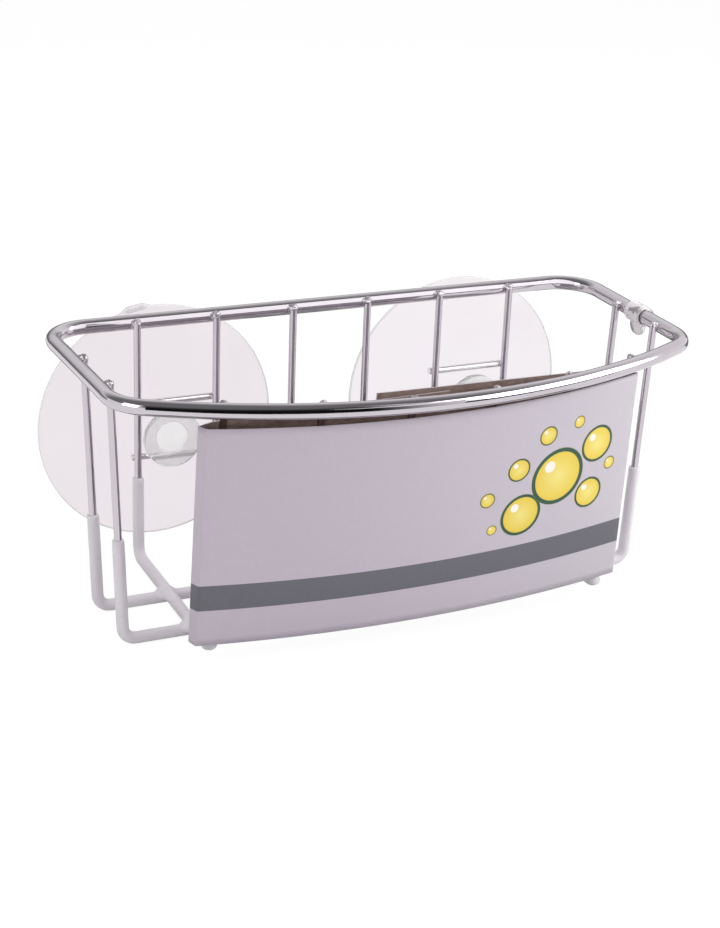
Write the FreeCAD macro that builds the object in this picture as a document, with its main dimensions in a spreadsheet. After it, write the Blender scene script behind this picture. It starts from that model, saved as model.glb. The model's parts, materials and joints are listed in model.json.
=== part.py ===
import FreeCAD, Part
import math
import os
import Sketcher

# Wire sponge caddy: chromed basket, dip-coated floor, two suction cups, a card sleeve and a rim tag.
# Millimetres. +X is to the right, +Y towards the wall behind the caddy and +Z up. The origin lies on the
# surface that the caddy stands on, in the middle of its length and depth. Depths are measured forwards from
# the centreline of the rim's back rail.

SIZES = (
    # Rim loop
    ("rim_wire", 4.0),
    ("rim_height", 70.5),
    ("rim_back_width", 161.8),
    ("rim_front_width", 159.0),
    ("rim_side_depth", 60.0),
    ("rim_bow", 22.8),
    ("rim_back_corner", 11.0),
    ("rim_front_corner", 12.5),
    # Basket wires
    ("wire", 2.0),
    ("weld_sink", 0.25),
    ("leg_stub", 1.2),
    ("bend_radius", 3.5),
    ("cross_pitch", 22.4),
    ("floor_inset", 22.7),
    ("long_front_inset", 13.3),
    ("long_spacing", 20.3),
    ("long_leg_slope", 2.7),
    # Dip coat
    ("coat_wall", 0.6),
    ("dip_height", 26.7),
    ("dip_tilt", 3.7),
    # Bars that hold the suction cups
    ("bar_above_dip", 5.5),
    ("bar_spacing", 15.3),
    ("bar_overhang", 1.2),
    # Suction cups
    ("cup_radius", 33.8),
    ("cup_shift", 1.6),
    ("cup_reach", 11.0),
    ("cup_hollow", 5.0),
    ("cup_wall", 1.8),
    ("lip_land", 1.6),
    ("lip_wall", 0.9),
    ("boss_radius", 8.0),
    ("boss_top_radius", 6.4),
    ("neck_radius", 4.2),
    ("neck_clearance", 0.15),
    ("groove_width", 3.4),
    ("head_clearance", 0.4),
    ("head_side_gap", 0.5),
    ("head_edge", 2.6),
    ("head_dome", 1.2),
    ("tab_width", 6.0),
    ("tab_reach", 1.0),
    ("tab_root", 1.5),
    ("tab_thickness", 2.4),
    ("left_tab_angle", 10.0),
    ("right_tab_angle", 200.0),
    # Card sleeve
    ("card", 0.5),
    ("card_gap", 0.5),
    ("card_rest_gap", 0.15),
    ("card_top_gap", 2.4),
    ("card_slack", 3.0),
    ("card_snug", 0.3),
    ("card_skew", 1.3),
    ("card_low_bow", 6.2),
    ("flap_rise", 2.2),
    ("left_flap_end", 6.0),
    ("right_flap_end", -14.0),
    ("fold_stub", 9.0),
    # Rim tag
    ("tag_gap", 3.5),
    ("tag_width", 7.2),
    ("tag_wall", 0.6),
    ("tag_clearance", 0.2),
    ("tag_thickness", 1.1),
    ("tag_drop", 4.0),
    ("tag_corner", 3.0),
)

CROSS_COUNT = 6

DERIVED = (
    ("basket_depth", "=rim_side_depth + rim_bow"),
    ("floor_depth", "=basket_depth - floor_inset"),
    ("long_front_depth", "=rim_side_depth - long_front_inset"),
    ("long_back_depth", "=long_front_depth - long_spacing"),
    ("back_y", "=(basket_depth + rim_wire / 2 - cup_reach) / 2"),
    ("half_back", "=rim_back_width / 2"),
    ("half_front", "=rim_front_width / 2"),
    ("side_front_y", "=back_y - rim_side_depth"),
    ("front_y", "=back_y - basket_depth"),
    ("bow_radius", "=(half_front ^ 2 + rim_bow ^ 2) / (2 * rim_bow)"),
    ("bow_centre_y", "=front_y + bow_radius"),
    ("side_lean", "=(half_back - half_front) / rim_side_depth"),
    ("rim_radius", "=rim_wire / 2"),
    ("wire_radius", "=wire / 2"),
    ("coat_radius", "=wire_radius + coat_wall"),
    ("weld_offset", "=rim_radius + wire_radius - weld_sink"),
    ("leg_top", "=rim_height + leg_stub"),
    ("long_z", "=coat_radius"),
    ("cross_z", "=long_z + wire - weld_sink"),
    ("cross_back_y", "=back_y - weld_offset"),
    ("cross_front_y", "=back_y - floor_depth"),
    ("cross_end_ratio", "=(leg_top - cross_z) / (rim_height - cross_z)"),
    ("long_end_ratio", "=(leg_top - long_z) / (rim_height - long_z)"),
    ("long_back_y", "=back_y - long_back_depth"),
    ("long_front_y", "=back_y - long_front_depth"),
    ("long_back_low_x", "=half_back - side_lean * long_back_depth - weld_offset - long_leg_slope"),
    ("long_front_low_x", "=half_back - side_lean * long_front_depth - weld_offset - long_leg_slope"),
    ("long_back_end_x", "=long_back_low_x + long_leg_slope * long_end_ratio"),
    ("long_front_end_x", "=long_front_low_x + long_leg_slope * long_end_ratio"),
    ("card_low", "=cross_z + coat_radius + card_rest_gap"),
    ("card_high", "=rim_height - rim_radius - card_top_gap"),
    ("left_fold_x", f"=-{(CROSS_COUNT - 1) / 2} * cross_pitch - card_slack"),
    ("bend_inside", "=2 * (bend_radius - coat_radius)"),
    ("flap_low", "=cross_z + bend_radius - sqrt(card_gap * (bend_inside - card_gap))"),
    ("bar_y", "=cross_back_y + wire - weld_sink"),
    ("bar_low_height", "=dip_height + bar_above_dip"),
    ("bar_high_height", "=bar_low_height + bar_spacing"),
    ("bar_length", "=cross_pitch + 2 * bar_overhang"),
    ("cup_spread", f"={CROSS_COUNT / 2 - 1} * cross_pitch + cup_shift"),
    ("cup_y", "=back_y + cup_reach"),
    ("cup_z", "=bar_low_height + wire_radius + neck_clearance + neck_radius"),
    ("lip_inner", "=cup_radius - lip_land"),
    ("lip_front", "=-lip_wall"),
    ("boss_base", "=-cup_hollow - cup_wall"),
    ("hollow_floor", "=-cup_hollow"),
    ("head_radius", "=cross_pitch / 2 - cup_shift - wire_radius - head_side_gap"),
    ("head_back", "=bar_y - wire_radius - head_clearance - cup_y"),
    ("boss_front", "=head_back + groove_width"),
    ("head_front_edge", "=head_back - head_edge"),
    ("head_front", "=head_front_edge - head_dome"),
    ("tab_low", "=cup_radius - tab_root"),
    ("tab_high", "=cup_radius + tab_reach"),
    ("tab_right", "=tab_width / 2"),
    ("tab_left", "=-tab_width / 2"),
    ("tag_depth", "=long_back_depth + wire_radius + tag_gap + tag_width / 2"),
    ("tag_bore", "=rim_radius + tag_clearance"),
    ("tag_ring", "=tag_bore + tag_wall"),
    ("tag_low", "=-rim_radius - tag_drop"),
    ("tag_right", "=tag_width / 2"),
    ("tag_left", "=-tag_width / 2"),
    ("tag_corner_z", "=tag_low + tag_corner"),
    ("tag_flat_right", "=tag_right - tag_corner"),
    ("tag_flat_left", "=tag_left + tag_corner"),
)


# Spreadsheet of sizes

doc = FreeCAD.newDocument("SpongeCaddy")
sheet = doc.addObject("Spreadsheet::Sheet", "Sizes")


def cross_cells():
    """The places of each cross wire: its X, and where its front leg meets the rim and ends."""
    cells = []
    for number in range(1, CROSS_COUNT + 1):
        steps = number - (CROSS_COUNT + 1) / 2
        x, rim_y, end_y = (f"cross_{number}_{place}" for place in ("x", "rim_y", "end_y"))
        cells.append((x, f"={steps} * cross_pitch"))
        cells.append((rim_y, f"=bow_centre_y - sqrt((bow_radius - weld_offset) ^ 2 - {x} ^ 2)"))
        cells.append((end_y, f"=cross_front_y + ({rim_y} - cross_front_y) * cross_end_ratio"))
    return cells


def fill_sheet():
    for row, (alias, content) in enumerate([*SIZES, *DERIVED, *cross_cells()], start=1):
        sheet.set(f"A{row}", alias)
        sheet.set(f"B{row}", str(content))
        sheet.setAlias(f"B{row}", alias)
    doc.recompute()


def size(alias):
    return float(sheet.get(alias))


def bind(item, place, formula):
    item.setExpression(place, formula)


fill_sheet()


# Sketch helpers

def origin_plane(body, role):
    return next(feature for feature in body.Origin.OriginFeatures if feature.Role == role)


def add_body(label):
    body = doc.addObject("PartDesign::Body", label)
    body.Label = label
    return body


def add_sketch(body, name, role, normal_offset=None):
    sketch = body.newObject("Sketcher::SketchObject", name)
    sketch.AttachmentSupport = (origin_plane(body, role), [""])
    sketch.MapMode = "FlatFace"
    if normal_offset:
        bind(sketch, "AttachmentOffset.Base.z", normal_offset)
    return sketch


def tie(sketch, kind, where, alias):
    """Adds one dimension to a sketch and binds it to a size."""
    index = sketch.addConstraint(Sketcher.Constraint(kind, *where, size(alias)))
    name = f"{alias}_{index}"
    sketch.renameConstraint(index, name)
    bind(sketch, f"Constraints.{name}", f"Sizes.{alias}")


def lock(sketch, geometry, end, across, up):
    """Ties a point to two sizes from the sketch's origin. None puts it on the axis."""
    if across is None:
        sketch.addConstraint(Sketcher.Constraint("PointOnObject", geometry, end, -2))
    else:
        tie(sketch, "DistanceX", (-1, 1, geometry, end), across)
    if up is None:
        sketch.addConstraint(Sketcher.Constraint("PointOnObject", geometry, end, -1))
    else:
        tie(sketch, "DistanceY", (-1, 1, geometry, end), up)


def spot(across, up):
    return FreeCAD.Vector(size(across) if across else 0.0, size(up) if up else 0.0, 0)


def arc_through(centre, first, last):
    """The arc from first to last about a centre, the short way round, with its own end numbers."""
    radius = (first - centre).Length
    angles = [math.atan2(point.y - centre.y, point.x - centre.x) for point in (first, last)]
    turn = (angles[1] - angles[0] + math.pi) % (2 * math.pi) - math.pi
    circle = Part.Circle(centre, FreeCAD.Vector(0, 0, 1), radius)
    if turn > 0:
        return Part.ArcOfCircle(circle, angles[0], angles[0] + turn), 1, 2
    return Part.ArcOfCircle(circle, angles[1], angles[1] - turn), 2, 1


def touch(sketch, geometry, end, other, other_end):
    sketch.addConstraint(Sketcher.Constraint("Tangent", geometry, end, other, other_end))


def bent_path(sketch, corners):
    """A wire's centreline: straight runs between the corners, joined by bends of one radius."""
    radius = size("bend_radius")
    points = [spot(*corner) for corner in corners]
    start = points[0]
    runs, bends = [], []
    for before, corner, after in zip(points, points[1:], points[2:]):
        back, ahead = (before - corner).normalize(), (after - corner).normalize()
        half = back.getAngle(ahead) / 2
        entry = corner + back * (radius / math.tan(half))
        leave = corner + ahead * (radius / math.tan(half))
        centre = corner + (back + ahead).normalize() * (radius / math.sin(half))
        runs.append(sketch.addGeometry(Part.LineSegment(start, entry)))
        arc, first, last = arc_through(centre, entry, leave)
        bends.append((sketch.addGeometry(arc), first, last))
        start = leave
    runs.append(sketch.addGeometry(Part.LineSegment(start, points[-1])))
    for number, (bend, first, last) in enumerate(bends):
        touch(sketch, runs[number], 2, bend, first)
        touch(sketch, bend, last, runs[number + 1], 1)
        tie(sketch, "Radius", (bend,), "bend_radius")
        corner = sketch.addGeometry(Part.Point(points[number + 1]), True)
        lock(sketch, corner, 1, *corners[number + 1])
        for run in (runs[number], runs[number + 1]):
            sketch.addConstraint(Sketcher.Constraint("PointOnObject", corner, 1, run))
    lock(sketch, runs[0], 1, *corners[0])
    lock(sketch, runs[-1], 2, *corners[-1])
    return [f"Edge{number + 1}" for number in range(len(runs) + len(bends))]


def round_section(sketch, across, up, radius):
    circle = sketch.addGeometry(Part.Circle(spot(across, up), FreeCAD.Vector(0, 0, 1), size(radius)))
    lock(sketch, circle, 3, across, up)
    tie(sketch, "Radius", (circle,), radius)


def sweep(body, section, path, edges):
    pipe = body.newObject("PartDesign::AdditivePipe", "Sweep")
    pipe.Profile = section
    pipe.Spine = (path, edges)
    return pipe


def mirror_right_half(body, feature):
    both = body.newObject("PartDesign::Mirrored", "BothHalves")
    both.Originals = [feature]
    both.MirrorPlane = (origin_plane(body, "YZ_Plane"), [""])
    body.Tip = both


# Rim loop

def rim_path(sketch):
    """Right half of the D: back rail, back corner, side, front corner and half of the bowed front."""
    back_y, half_back = size("back_y"), size("half_back")
    back_corner, front_corner = size("rim_back_corner"), size("rim_front_corner")
    outer = FreeCAD.Vector(half_back, back_y, 0)
    inner = FreeCAD.Vector(size("half_front"), size("side_front_y"), 0)
    along = (inner - outer).normalize()
    inward = FreeCAD.Vector(along.y, -along.x, 0)
    half = along.getAngle(FreeCAD.Vector(-1, 0, 0)) / 2
    rail_end = outer - FreeCAD.Vector(back_corner / math.tan(half), 0, 0)
    side_start = outer + along * (back_corner / math.tan(half))
    back_centre = rail_end - FreeCAD.Vector(0, back_corner, 0)
    bow_centre = FreeCAD.Vector(0, size("bow_centre_y"), 0)
    reach = outer + inward * front_corner - bow_centre
    slope = reach.dot(along)
    room = (size("bow_radius") - front_corner) ** 2 - reach.dot(reach) + slope ** 2
    side_end = outer + along * (math.sqrt(room) - slope)
    front_centre = side_end + inward * front_corner
    bow_start = bow_centre + (front_centre - bow_centre).normalize() * size("bow_radius")
    bow_end = FreeCAD.Vector(0, size("front_y"), 0)

    rail = sketch.addGeometry(Part.LineSegment(FreeCAD.Vector(0, back_y, 0), rail_end))
    corner_arc, corner_in, corner_out = arc_through(back_centre, rail_end, side_start)
    corner = sketch.addGeometry(corner_arc)
    side = sketch.addGeometry(Part.LineSegment(side_start, side_end))
    nose_arc, nose_in, nose_out = arc_through(front_centre, side_end, bow_start)
    nose = sketch.addGeometry(nose_arc)
    bow_arc, bow_in, bow_out = arc_through(bow_centre, bow_start, bow_end)
    bow = sketch.addGeometry(bow_arc)
    touch(sketch, rail, 2, corner, corner_in)
    touch(sketch, corner, corner_out, side, 1)
    touch(sketch, side, 2, nose, nose_in)
    touch(sketch, nose, nose_out, bow, bow_in)
    sketch.addConstraint(Sketcher.Constraint("Horizontal", rail))
    sketch.addConstraint(Sketcher.Constraint("PointOnObject", bow, bow_out, -2))
    lock(sketch, rail, 1, None, "back_y")
    lock(sketch, bow, 3, None, "bow_centre_y")
    tie(sketch, "Radius", (corner,), "rim_back_corner")
    tie(sketch, "Radius", (nose,), "rim_front_corner")
    tie(sketch, "Radius", (bow,), "bow_radius")
    for point, places in ((outer, ("half_back", "back_y")), (inner, ("half_front", "side_front_y"))):
        mark = sketch.addGeometry(Part.Point(point), True)
        lock(sketch, mark, 1, *places)
        sketch.addConstraint(Sketcher.Constraint("PointOnObject", mark, 1, side))
    return [f"Edge{number}" for number in range(1, 6)]


def rim_wire():
    body = add_body("rim_wire")
    path = add_sketch(body, "RimPath", "XY_Plane", "Sizes.rim_height")
    edges = rim_path(path)
    section = add_sketch(body, "RimSection", "YZ_Plane")
    round_section(section, "back_y", "rim_height", "rim_radius")
    mirror_right_half(body, sweep(body, section, path, edges))
    return body


# Basket wires, each made once as bare wire and once at the coat's diameter

def cross_rod(label, number, radius):
    body = add_body(label)
    x = f"cross_{number}_x"
    path = add_sketch(body, "CrossPath", "YZ_Plane", f"Sizes.{x}")
    edges = bent_path(path, (
        ("cross_back_y", "leg_top"),
        ("cross_back_y", "cross_z"),
        ("cross_front_y", "cross_z"),
        (f"cross_{number}_end_y", "leg_top"),
    ))
    section = add_sketch(body, "CrossSection", "XY_Plane", "Sizes.leg_top")
    round_section(section, x, "cross_back_y", radius)
    sweep(body, section, path, edges)
    return body


def long_rod(label, place, radius):
    body = add_body(label)
    path = add_sketch(body, "LongPath", "XZ_Plane", f"-Sizes.long_{place}_y")
    edges = bent_path(path, (
        (None, "long_z"),
        (f"long_{place}_low_x", "long_z"),
        (f"long_{place}_end_x", "leg_top"),
    ))
    section = add_sketch(body, "LongSection", "YZ_Plane")
    round_section(section, f"long_{place}_y", "long_z", radius)
    mirror_right_half(body, sweep(body, section, path, edges))
    return body


def basket_rods(prefix, radius):
    """All eight basket wires, or the same eight rods at another radius."""
    rods = [cross_rod(f"{prefix}cross_wire_{n}", n, radius) for n in range(1, CROSS_COUNT + 1)]
    return rods + [long_rod(f"{prefix}long_wire_{place}", place, radius) for place in ("back", "front")]


# Dip coat: the thick rods up to the tilted dip line, hollowed by the wires

def dip_coat(wires):
    skin = doc.addObject("Part::MultiFuse", "CoatRods")
    skin.Shapes = basket_rods("coat_", "coat_radius")
    above = doc.addObject("Part::Box", "AboveDipLine")
    above.Placement.Rotation = FreeCAD.Rotation(FreeCAD.Vector(-1, 0, 0), size("dip_tilt"))
    bind(above, "Placement.Rotation.Angle", "Sizes.dip_tilt")
    bind(above, "Length", "Sizes.rim_back_width + Sizes.rim_front_width")
    bind(above, "Width", "2 * Sizes.basket_depth")
    bind(above, "Height", "2 * Sizes.rim_height")
    bind(above, "Placement.Base.x", "-Length / 2")
    bind(above, "Placement.Base.y", "Sizes.back_y - 1.5 * Sizes.basket_depth")
    bind(above, "Placement.Base.z", "Sizes.dip_height + 1.5 * Sizes.basket_depth * tan(Sizes.dip_tilt)")
    dipped = doc.addObject("Part::Cut", "DippedRods")
    dipped.Base = skin
    dipped.Tool = above
    cores = doc.addObject("Part::MultiFuse", "Cores")
    cores.Shapes = wires
    coat = doc.addObject("Part::Cut", "dip_coat")
    coat.Label = "dip_coat"
    coat.Base = dipped
    coat.Tool = cores
    return coat


# Bars across the back legs, above and below each cup's neck

def cup_bar(label, side, height):
    bar = doc.addObject("Part::Cylinder", label)
    bar.Label = label
    bar.Placement.Rotation = FreeCAD.Rotation(FreeCAD.Vector(0, 1, 0), 90)
    bind(bar, "Radius", "Sizes.wire_radius")
    bind(bar, "Height", "Sizes.bar_length")
    outer_wire = {"left": "Sizes.cross_1_x", "right": f"Sizes.cross_{CROSS_COUNT - 1}_x"}[side]
    bind(bar, "Placement.Base.x", f"{outer_wire} - Sizes.bar_overhang")
    bind(bar, "Placement.Base.y", "Sizes.bar_y")
    bind(bar, "Placement.Base.z", f"Sizes.{height}")
    return bar


# Suction cups

CUP_PROFILE = (
    # Place along the axis from the wall, distance from the axis, and how the outline goes on
    (None, "lip_inner", "line"),
    (None, "cup_radius", "line"),
    ("lip_front", "cup_radius", "arc"),
    ("boss_base", "boss_radius", "line"),
    ("boss_front", "boss_top_radius", "line"),
    ("boss_front", "neck_radius", "line"),
    ("head_back", "neck_radius", "line"),
    ("head_back", "head_radius", "line"),
    ("head_front_edge", "head_radius", "arc"),
    ("head_front", None, "line"),
    ("hollow_floor", None, "arc"),
)


def axis_centre(first, last):
    """Centre on the sketch's own X axis of the arc through two points."""
    middle = (first + last) * 0.5
    across = last - first
    return FreeCAD.Vector(middle.x + middle.y * across.y / across.x, 0, 0)


def cup_outline(sketch):
    points = [spot(across, up) for across, up, _ in CUP_PROFILE]
    ends = []
    for number, (_, _, form) in enumerate(CUP_PROFILE):
        first, last = points[number], points[(number + 1) % len(points)]
        if form == "line":
            ends.append((sketch.addGeometry(Part.LineSegment(first, last)), 1, 2))
        else:
            centre = axis_centre(first, last)
            arc, start, stop = arc_through(centre, first, last)
            edge = sketch.addGeometry(arc)
            sketch.addConstraint(Sketcher.Constraint("PointOnObject", edge, 3, -1))
            ends.append((edge, start, stop))
    for number, (across, up, _) in enumerate(CUP_PROFILE):
        edge, start, _ = ends[number]
        before, _, stop = ends[number - 1]
        sketch.addConstraint(Sketcher.Constraint("Coincident", before, stop, edge, start))
        lock(sketch, edge, start, across, up)


def tab_outline(sketch):
    corners = (
        ("tab_left", "tab_low"),
        ("tab_right", "tab_low"),
        ("tab_right", "tab_high"),
        ("tab_left", "tab_high"),
    )
    points = [spot(*corner) for corner in corners]
    edges = []
    for first, last in zip(points, points[1:] + points[:1]):
        edges.append(sketch.addGeometry(Part.LineSegment(first, last)))
    for number, edge in enumerate(edges):
        sketch.addConstraint(Sketcher.Constraint("Coincident", edges[number - 1], 2, edge, 1))
        lock(sketch, edge, 1, *corners[number])


def suction_cup(side, sign):
    body = add_body(f"suction_cup_{side}")
    profile = add_sketch(body, "CupProfile", "YZ_Plane", f"{sign} * Sizes.cup_spread")
    bind(profile, "AttachmentOffset.Base.x", "Sizes.cup_y")
    bind(profile, "AttachmentOffset.Base.y", "Sizes.cup_z")
    cup_outline(profile)
    turned = body.newObject("PartDesign::Revolution", "Turned")
    turned.Profile = profile
    turned.ReferenceAxis = (profile, ["H_Axis"])
    turned.Angle = 360
    tab = add_sketch(body, "PullTab", "XZ_Plane", "-Sizes.cup_y")
    bind(tab, "AttachmentOffset.Base.x", f"{sign} * Sizes.cup_spread")
    bind(tab, "AttachmentOffset.Base.y", "Sizes.cup_z")
    bind(tab, "AttachmentOffset.Rotation.Angle", f"Sizes.{side}_tab_angle")
    tab_outline(tab)
    pad = body.newObject("PartDesign::Pad", "TabPad")
    pad.Profile = tab
    bind(pad, "Length", "Sizes.tab_thickness")
    return body


# Card sleeve: a band round the six front legs, glued where its two back flaps overlap

def front_leg_y(rim_y, height):
    """Depth of a front leg's axis at a height, from where the leg meets the rim."""
    low, share = size("cross_front_y"), height - size("cross_z")
    return low + (rim_y - low) * share / (size("rim_height") - size("cross_z"))


def bow_y():
    return size("front_y") + size("weld_offset")


def right_fold_x(height):
    """Middle of the right fold at a height: slack at the foot, and snug round the last leg at the top."""
    share = (height - size("card_low")) / (size("card_high") - size("card_low"))
    gap = size("card_slack") + (size("card_snug") - size("card_slack")) * share
    return size(f"cross_{CROSS_COUNT}_x") + gap


def band_section(height, bow_middle_y):
    """Closed outline of the band at one height: left flap, left fold, bowed front, right fold and stub."""
    left_x, right_x = size("left_fold_x"), right_fold_x(height)
    fold_y = front_leg_y(size("cross_1_rim_y"), height)
    inner = size("coat_radius") + size("card_gap")
    outer = inner + size("card")
    stub_x = right_x - size("fold_stub")

    def at(x, y):
        return FreeCAD.Vector(x, y, height)

    def side(reach, front_y):
        flap, stub = at(size("left_flap_end"), fold_y + reach), at(stub_x, fold_y + reach)
        left_back, left_front = at(left_x, fold_y + reach), at(left_x, fold_y - reach)
        right_front, right_back = at(right_x, fold_y - reach), at(right_x, fold_y + reach)
        return flap, stub, [
            Part.LineSegment(flap, left_back),
            Part.Arc(left_back, at(left_x - reach, fold_y), left_front),
            Part.Arc(left_front, at(0, front_y), right_front),
            Part.Arc(right_front, at(right_x + reach, fold_y), right_back),
            Part.LineSegment(right_back, stub),
        ]

    flap_in, stub_in, inside = side(inner, bow_middle_y - inner)
    flap_out, stub_out, outside = side(outer, bow_middle_y - outer)
    ends = [Part.LineSegment(stub_in, stub_out), Part.LineSegment(flap_out, flap_in)]
    return Part.Wire(Part.__sortEdges__([edge.toShape() for edge in inside + ends + outside]))


def flap_section(height):
    """Outline of the right back flap at one height, glued behind the left flap and the fold's stub."""
    fold_x = right_fold_x(height)
    leg_y = front_leg_y(size("cross_1_rim_y"), height)
    near = leg_y + size("coat_radius") + size("card_gap") + size("card")
    far = near + size("card")
    corners = ((size("right_flap_end"), near), (fold_x, near), (fold_x, far), (size("right_flap_end"), far))
    points = [FreeCAD.Vector(x, y, height) for x, y in corners]
    return Part.makePolygon(points + points[:1])


def bend_room(low):
    """The room that the bends of the front legs need behind the folds. The flaps rest just above it."""
    width, depth = size("rim_back_width"), size("floor_depth")
    corner = FreeCAD.Vector(-width / 2, front_leg_y(size("cross_1_rim_y"), low), 0)
    return Part.makeBox(width, depth, size("flap_low"), corner)


def card_tilt():
    """The sleeve hangs askew: turned about the foot of its left fold, so that its right end is higher."""
    foot = FreeCAD.Vector(size("left_fold_x"), 0, size("card_low"))
    angle = math.degrees(math.asin(size("card_skew") / (-2 * size("left_fold_x"))))
    return FreeCAD.Placement(FreeCAD.Vector(), FreeCAD.Rotation(FreeCAD.Vector(0, -1, 0), angle), foot)


def card_sleeve():
    low, high = size("card_low"), size("card_high")
    low_bow = front_leg_y(size("cross_1_rim_y"), low) - size("card_low_bow")
    high_bow = front_leg_y(bow_y(), high)
    band = Part.makeLoft([band_section(low, low_bow), band_section(high, high_bow)], True, True)
    flap = Part.makeLoft([flap_section(low), flap_section(high + size("flap_rise"))], True, True)
    sleeve = doc.addObject("Part::Feature", "card_sleeve")
    sleeve.Label = "card_sleeve"
    sleeve.Shape = band.fuse(flap).cut(bend_room(low)).transformed(card_tilt().toMatrix(), True)
    sleeve.Placement = FreeCAD.Placement()
    return sleeve


# Rim tag: a clear loop on the rim's right side with a round-ended tongue

def tag_tongue(sketch):
    corner = size("tag_corner")
    top_right, top_left = spot("tag_right", None), spot("tag_left", None)
    right, left = spot("tag_right", "tag_corner_z"), spot("tag_left", "tag_corner_z")
    low_right, low_left = spot("tag_flat_right", "tag_low"), spot("tag_flat_left", "tag_low")
    top = sketch.addGeometry(Part.LineSegment(top_left, top_right))
    right_edge = sketch.addGeometry(Part.LineSegment(top_right, right))
    right_arc, right_in, right_out = arc_through(right - FreeCAD.Vector(corner, 0, 0), right, low_right)
    right_round = sketch.addGeometry(right_arc)
    bottom = sketch.addGeometry(Part.LineSegment(low_right, low_left))
    left_arc, left_in, left_out = arc_through(left + FreeCAD.Vector(corner, 0, 0), low_left, left)
    left_round = sketch.addGeometry(left_arc)
    left_edge = sketch.addGeometry(Part.LineSegment(left, top_left))
    sketch.addConstraint(Sketcher.Constraint("Coincident", top, 2, right_edge, 1))
    sketch.addConstraint(Sketcher.Constraint("Coincident", left_edge, 2, top, 1))
    touch(sketch, right_edge, 2, right_round, right_in)
    touch(sketch, right_round, right_out, bottom, 1)
    touch(sketch, bottom, 2, left_round, left_in)
    touch(sketch, left_round, left_out, left_edge, 1)
    sketch.addConstraint(Sketcher.Constraint("Horizontal", bottom))
    lock(sketch, top, 1, "tag_left", None)
    lock(sketch, top, 2, "tag_right", None)
    tie(sketch, "DistanceX", (-1, 1, right_edge, 2), "tag_right")
    tie(sketch, "DistanceX", (-1, 1, left_edge, 1), "tag_left")
    tie(sketch, "DistanceY", (-1, 1, bottom, 1), "tag_low")
    tie(sketch, "Radius", (right_round,), "tag_corner")
    tie(sketch, "Radius", (left_round,), "tag_corner")


def centred_pad(body, name, profile, length):
    pad = body.newObject("PartDesign::Pad", name)
    pad.Profile = profile
    pad.SideType = "Symmetric"
    bind(pad, "Length", f"Sizes.{length}")
    return pad


def rim_tag():
    body = add_body("rim_tag")
    ring = add_sketch(body, "RingSection", "XZ_Plane")
    round_section(ring, None, None, "tag_ring")
    centred_pad(body, "Ring", ring, "tag_width")
    tongue = add_sketch(body, "TongueOutline", "YZ_Plane")
    tag_tongue(tongue)
    centred_pad(body, "Tongue", tongue, "tag_thickness")
    bore = add_sketch(body, "BoreSection", "XZ_Plane")
    round_section(bore, None, None, "tag_bore")
    hole = body.newObject("PartDesign::Pocket", "Bore")
    hole.Profile = bore
    hole.SideType = "Symmetric"
    bind(hole, "Length", "2 * Sizes.tag_width")
    body.Placement.Rotation = FreeCAD.Rotation(FreeCAD.Vector(0, 0, -1), 1)
    bind(body, "Placement.Rotation.Angle", "atan(Sizes.side_lean)")
    bind(body, "Placement.Base.x", "Sizes.half_back - Sizes.side_lean * Sizes.tag_depth")
    bind(body, "Placement.Base.y", "Sizes.back_y - Sizes.tag_depth")
    bind(body, "Placement.Base.z", "Sizes.rim_height")
    return body


# All sub-parts, then the checks and the files

def build():
    wires = basket_rods("", "wire_radius")
    parts = [rim_wire(), *wires, dip_coat(wires)]
    for side in ("left", "right"):
        parts.append(cup_bar(f"cup_bar_{side}_upper", side, "bar_high_height"))
        parts.append(cup_bar(f"cup_bar_{side}_lower", side, "bar_low_height"))
    parts.append(suction_cup("left", -1))
    parts.append(suction_cup("right", 1))
    parts.append(card_sleeve())
    parts.append(rim_tag())
    doc.recompute()
    return parts


def check(parts):
    for item in doc.Objects:
        if "Invalid" in item.State or "Error" in item.State:
            raise RuntimeError(f"{item.Label} did not rebuild: {item.State}")
    for part in parts:
        if part.Shape.isNull() or not part.Shape.isValid() or len(part.Shape.Solids) != 1:
            raise RuntimeError(f"{part.Label} is not one sound solid")


def write(parts):
    os.makedirs("parts", exist_ok=True)
    for part in parts:
        part.Shape.exportStep(f"parts/{part.Label}.step")
        print(f"{part.Label}: {part.Shape.Volume:.1f} cubic mm")


sub_parts = build()
check(sub_parts)
write(sub_parts)
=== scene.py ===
# %% [markdown]
# A wire sponge caddy. The basket is chromed steel wire: a thick rim loop, six thin wires from front
# to back and two from side to side. Its floor was dipped in white plastic. Two clear suction cups
# hang on short bars at the back, a folded card sleeve goes round the front legs, and a small clear
# tag hangs on the rim. The exact shapes come in as a frame of CAD solids, which this lesson dresses.
# The caddy's own sizes are written in millimetres, and MM turns them into Blender's metres.

# %% Load the frame
import json
import math

import bmesh
import bpy
from mathutils import Matrix, Vector


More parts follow.
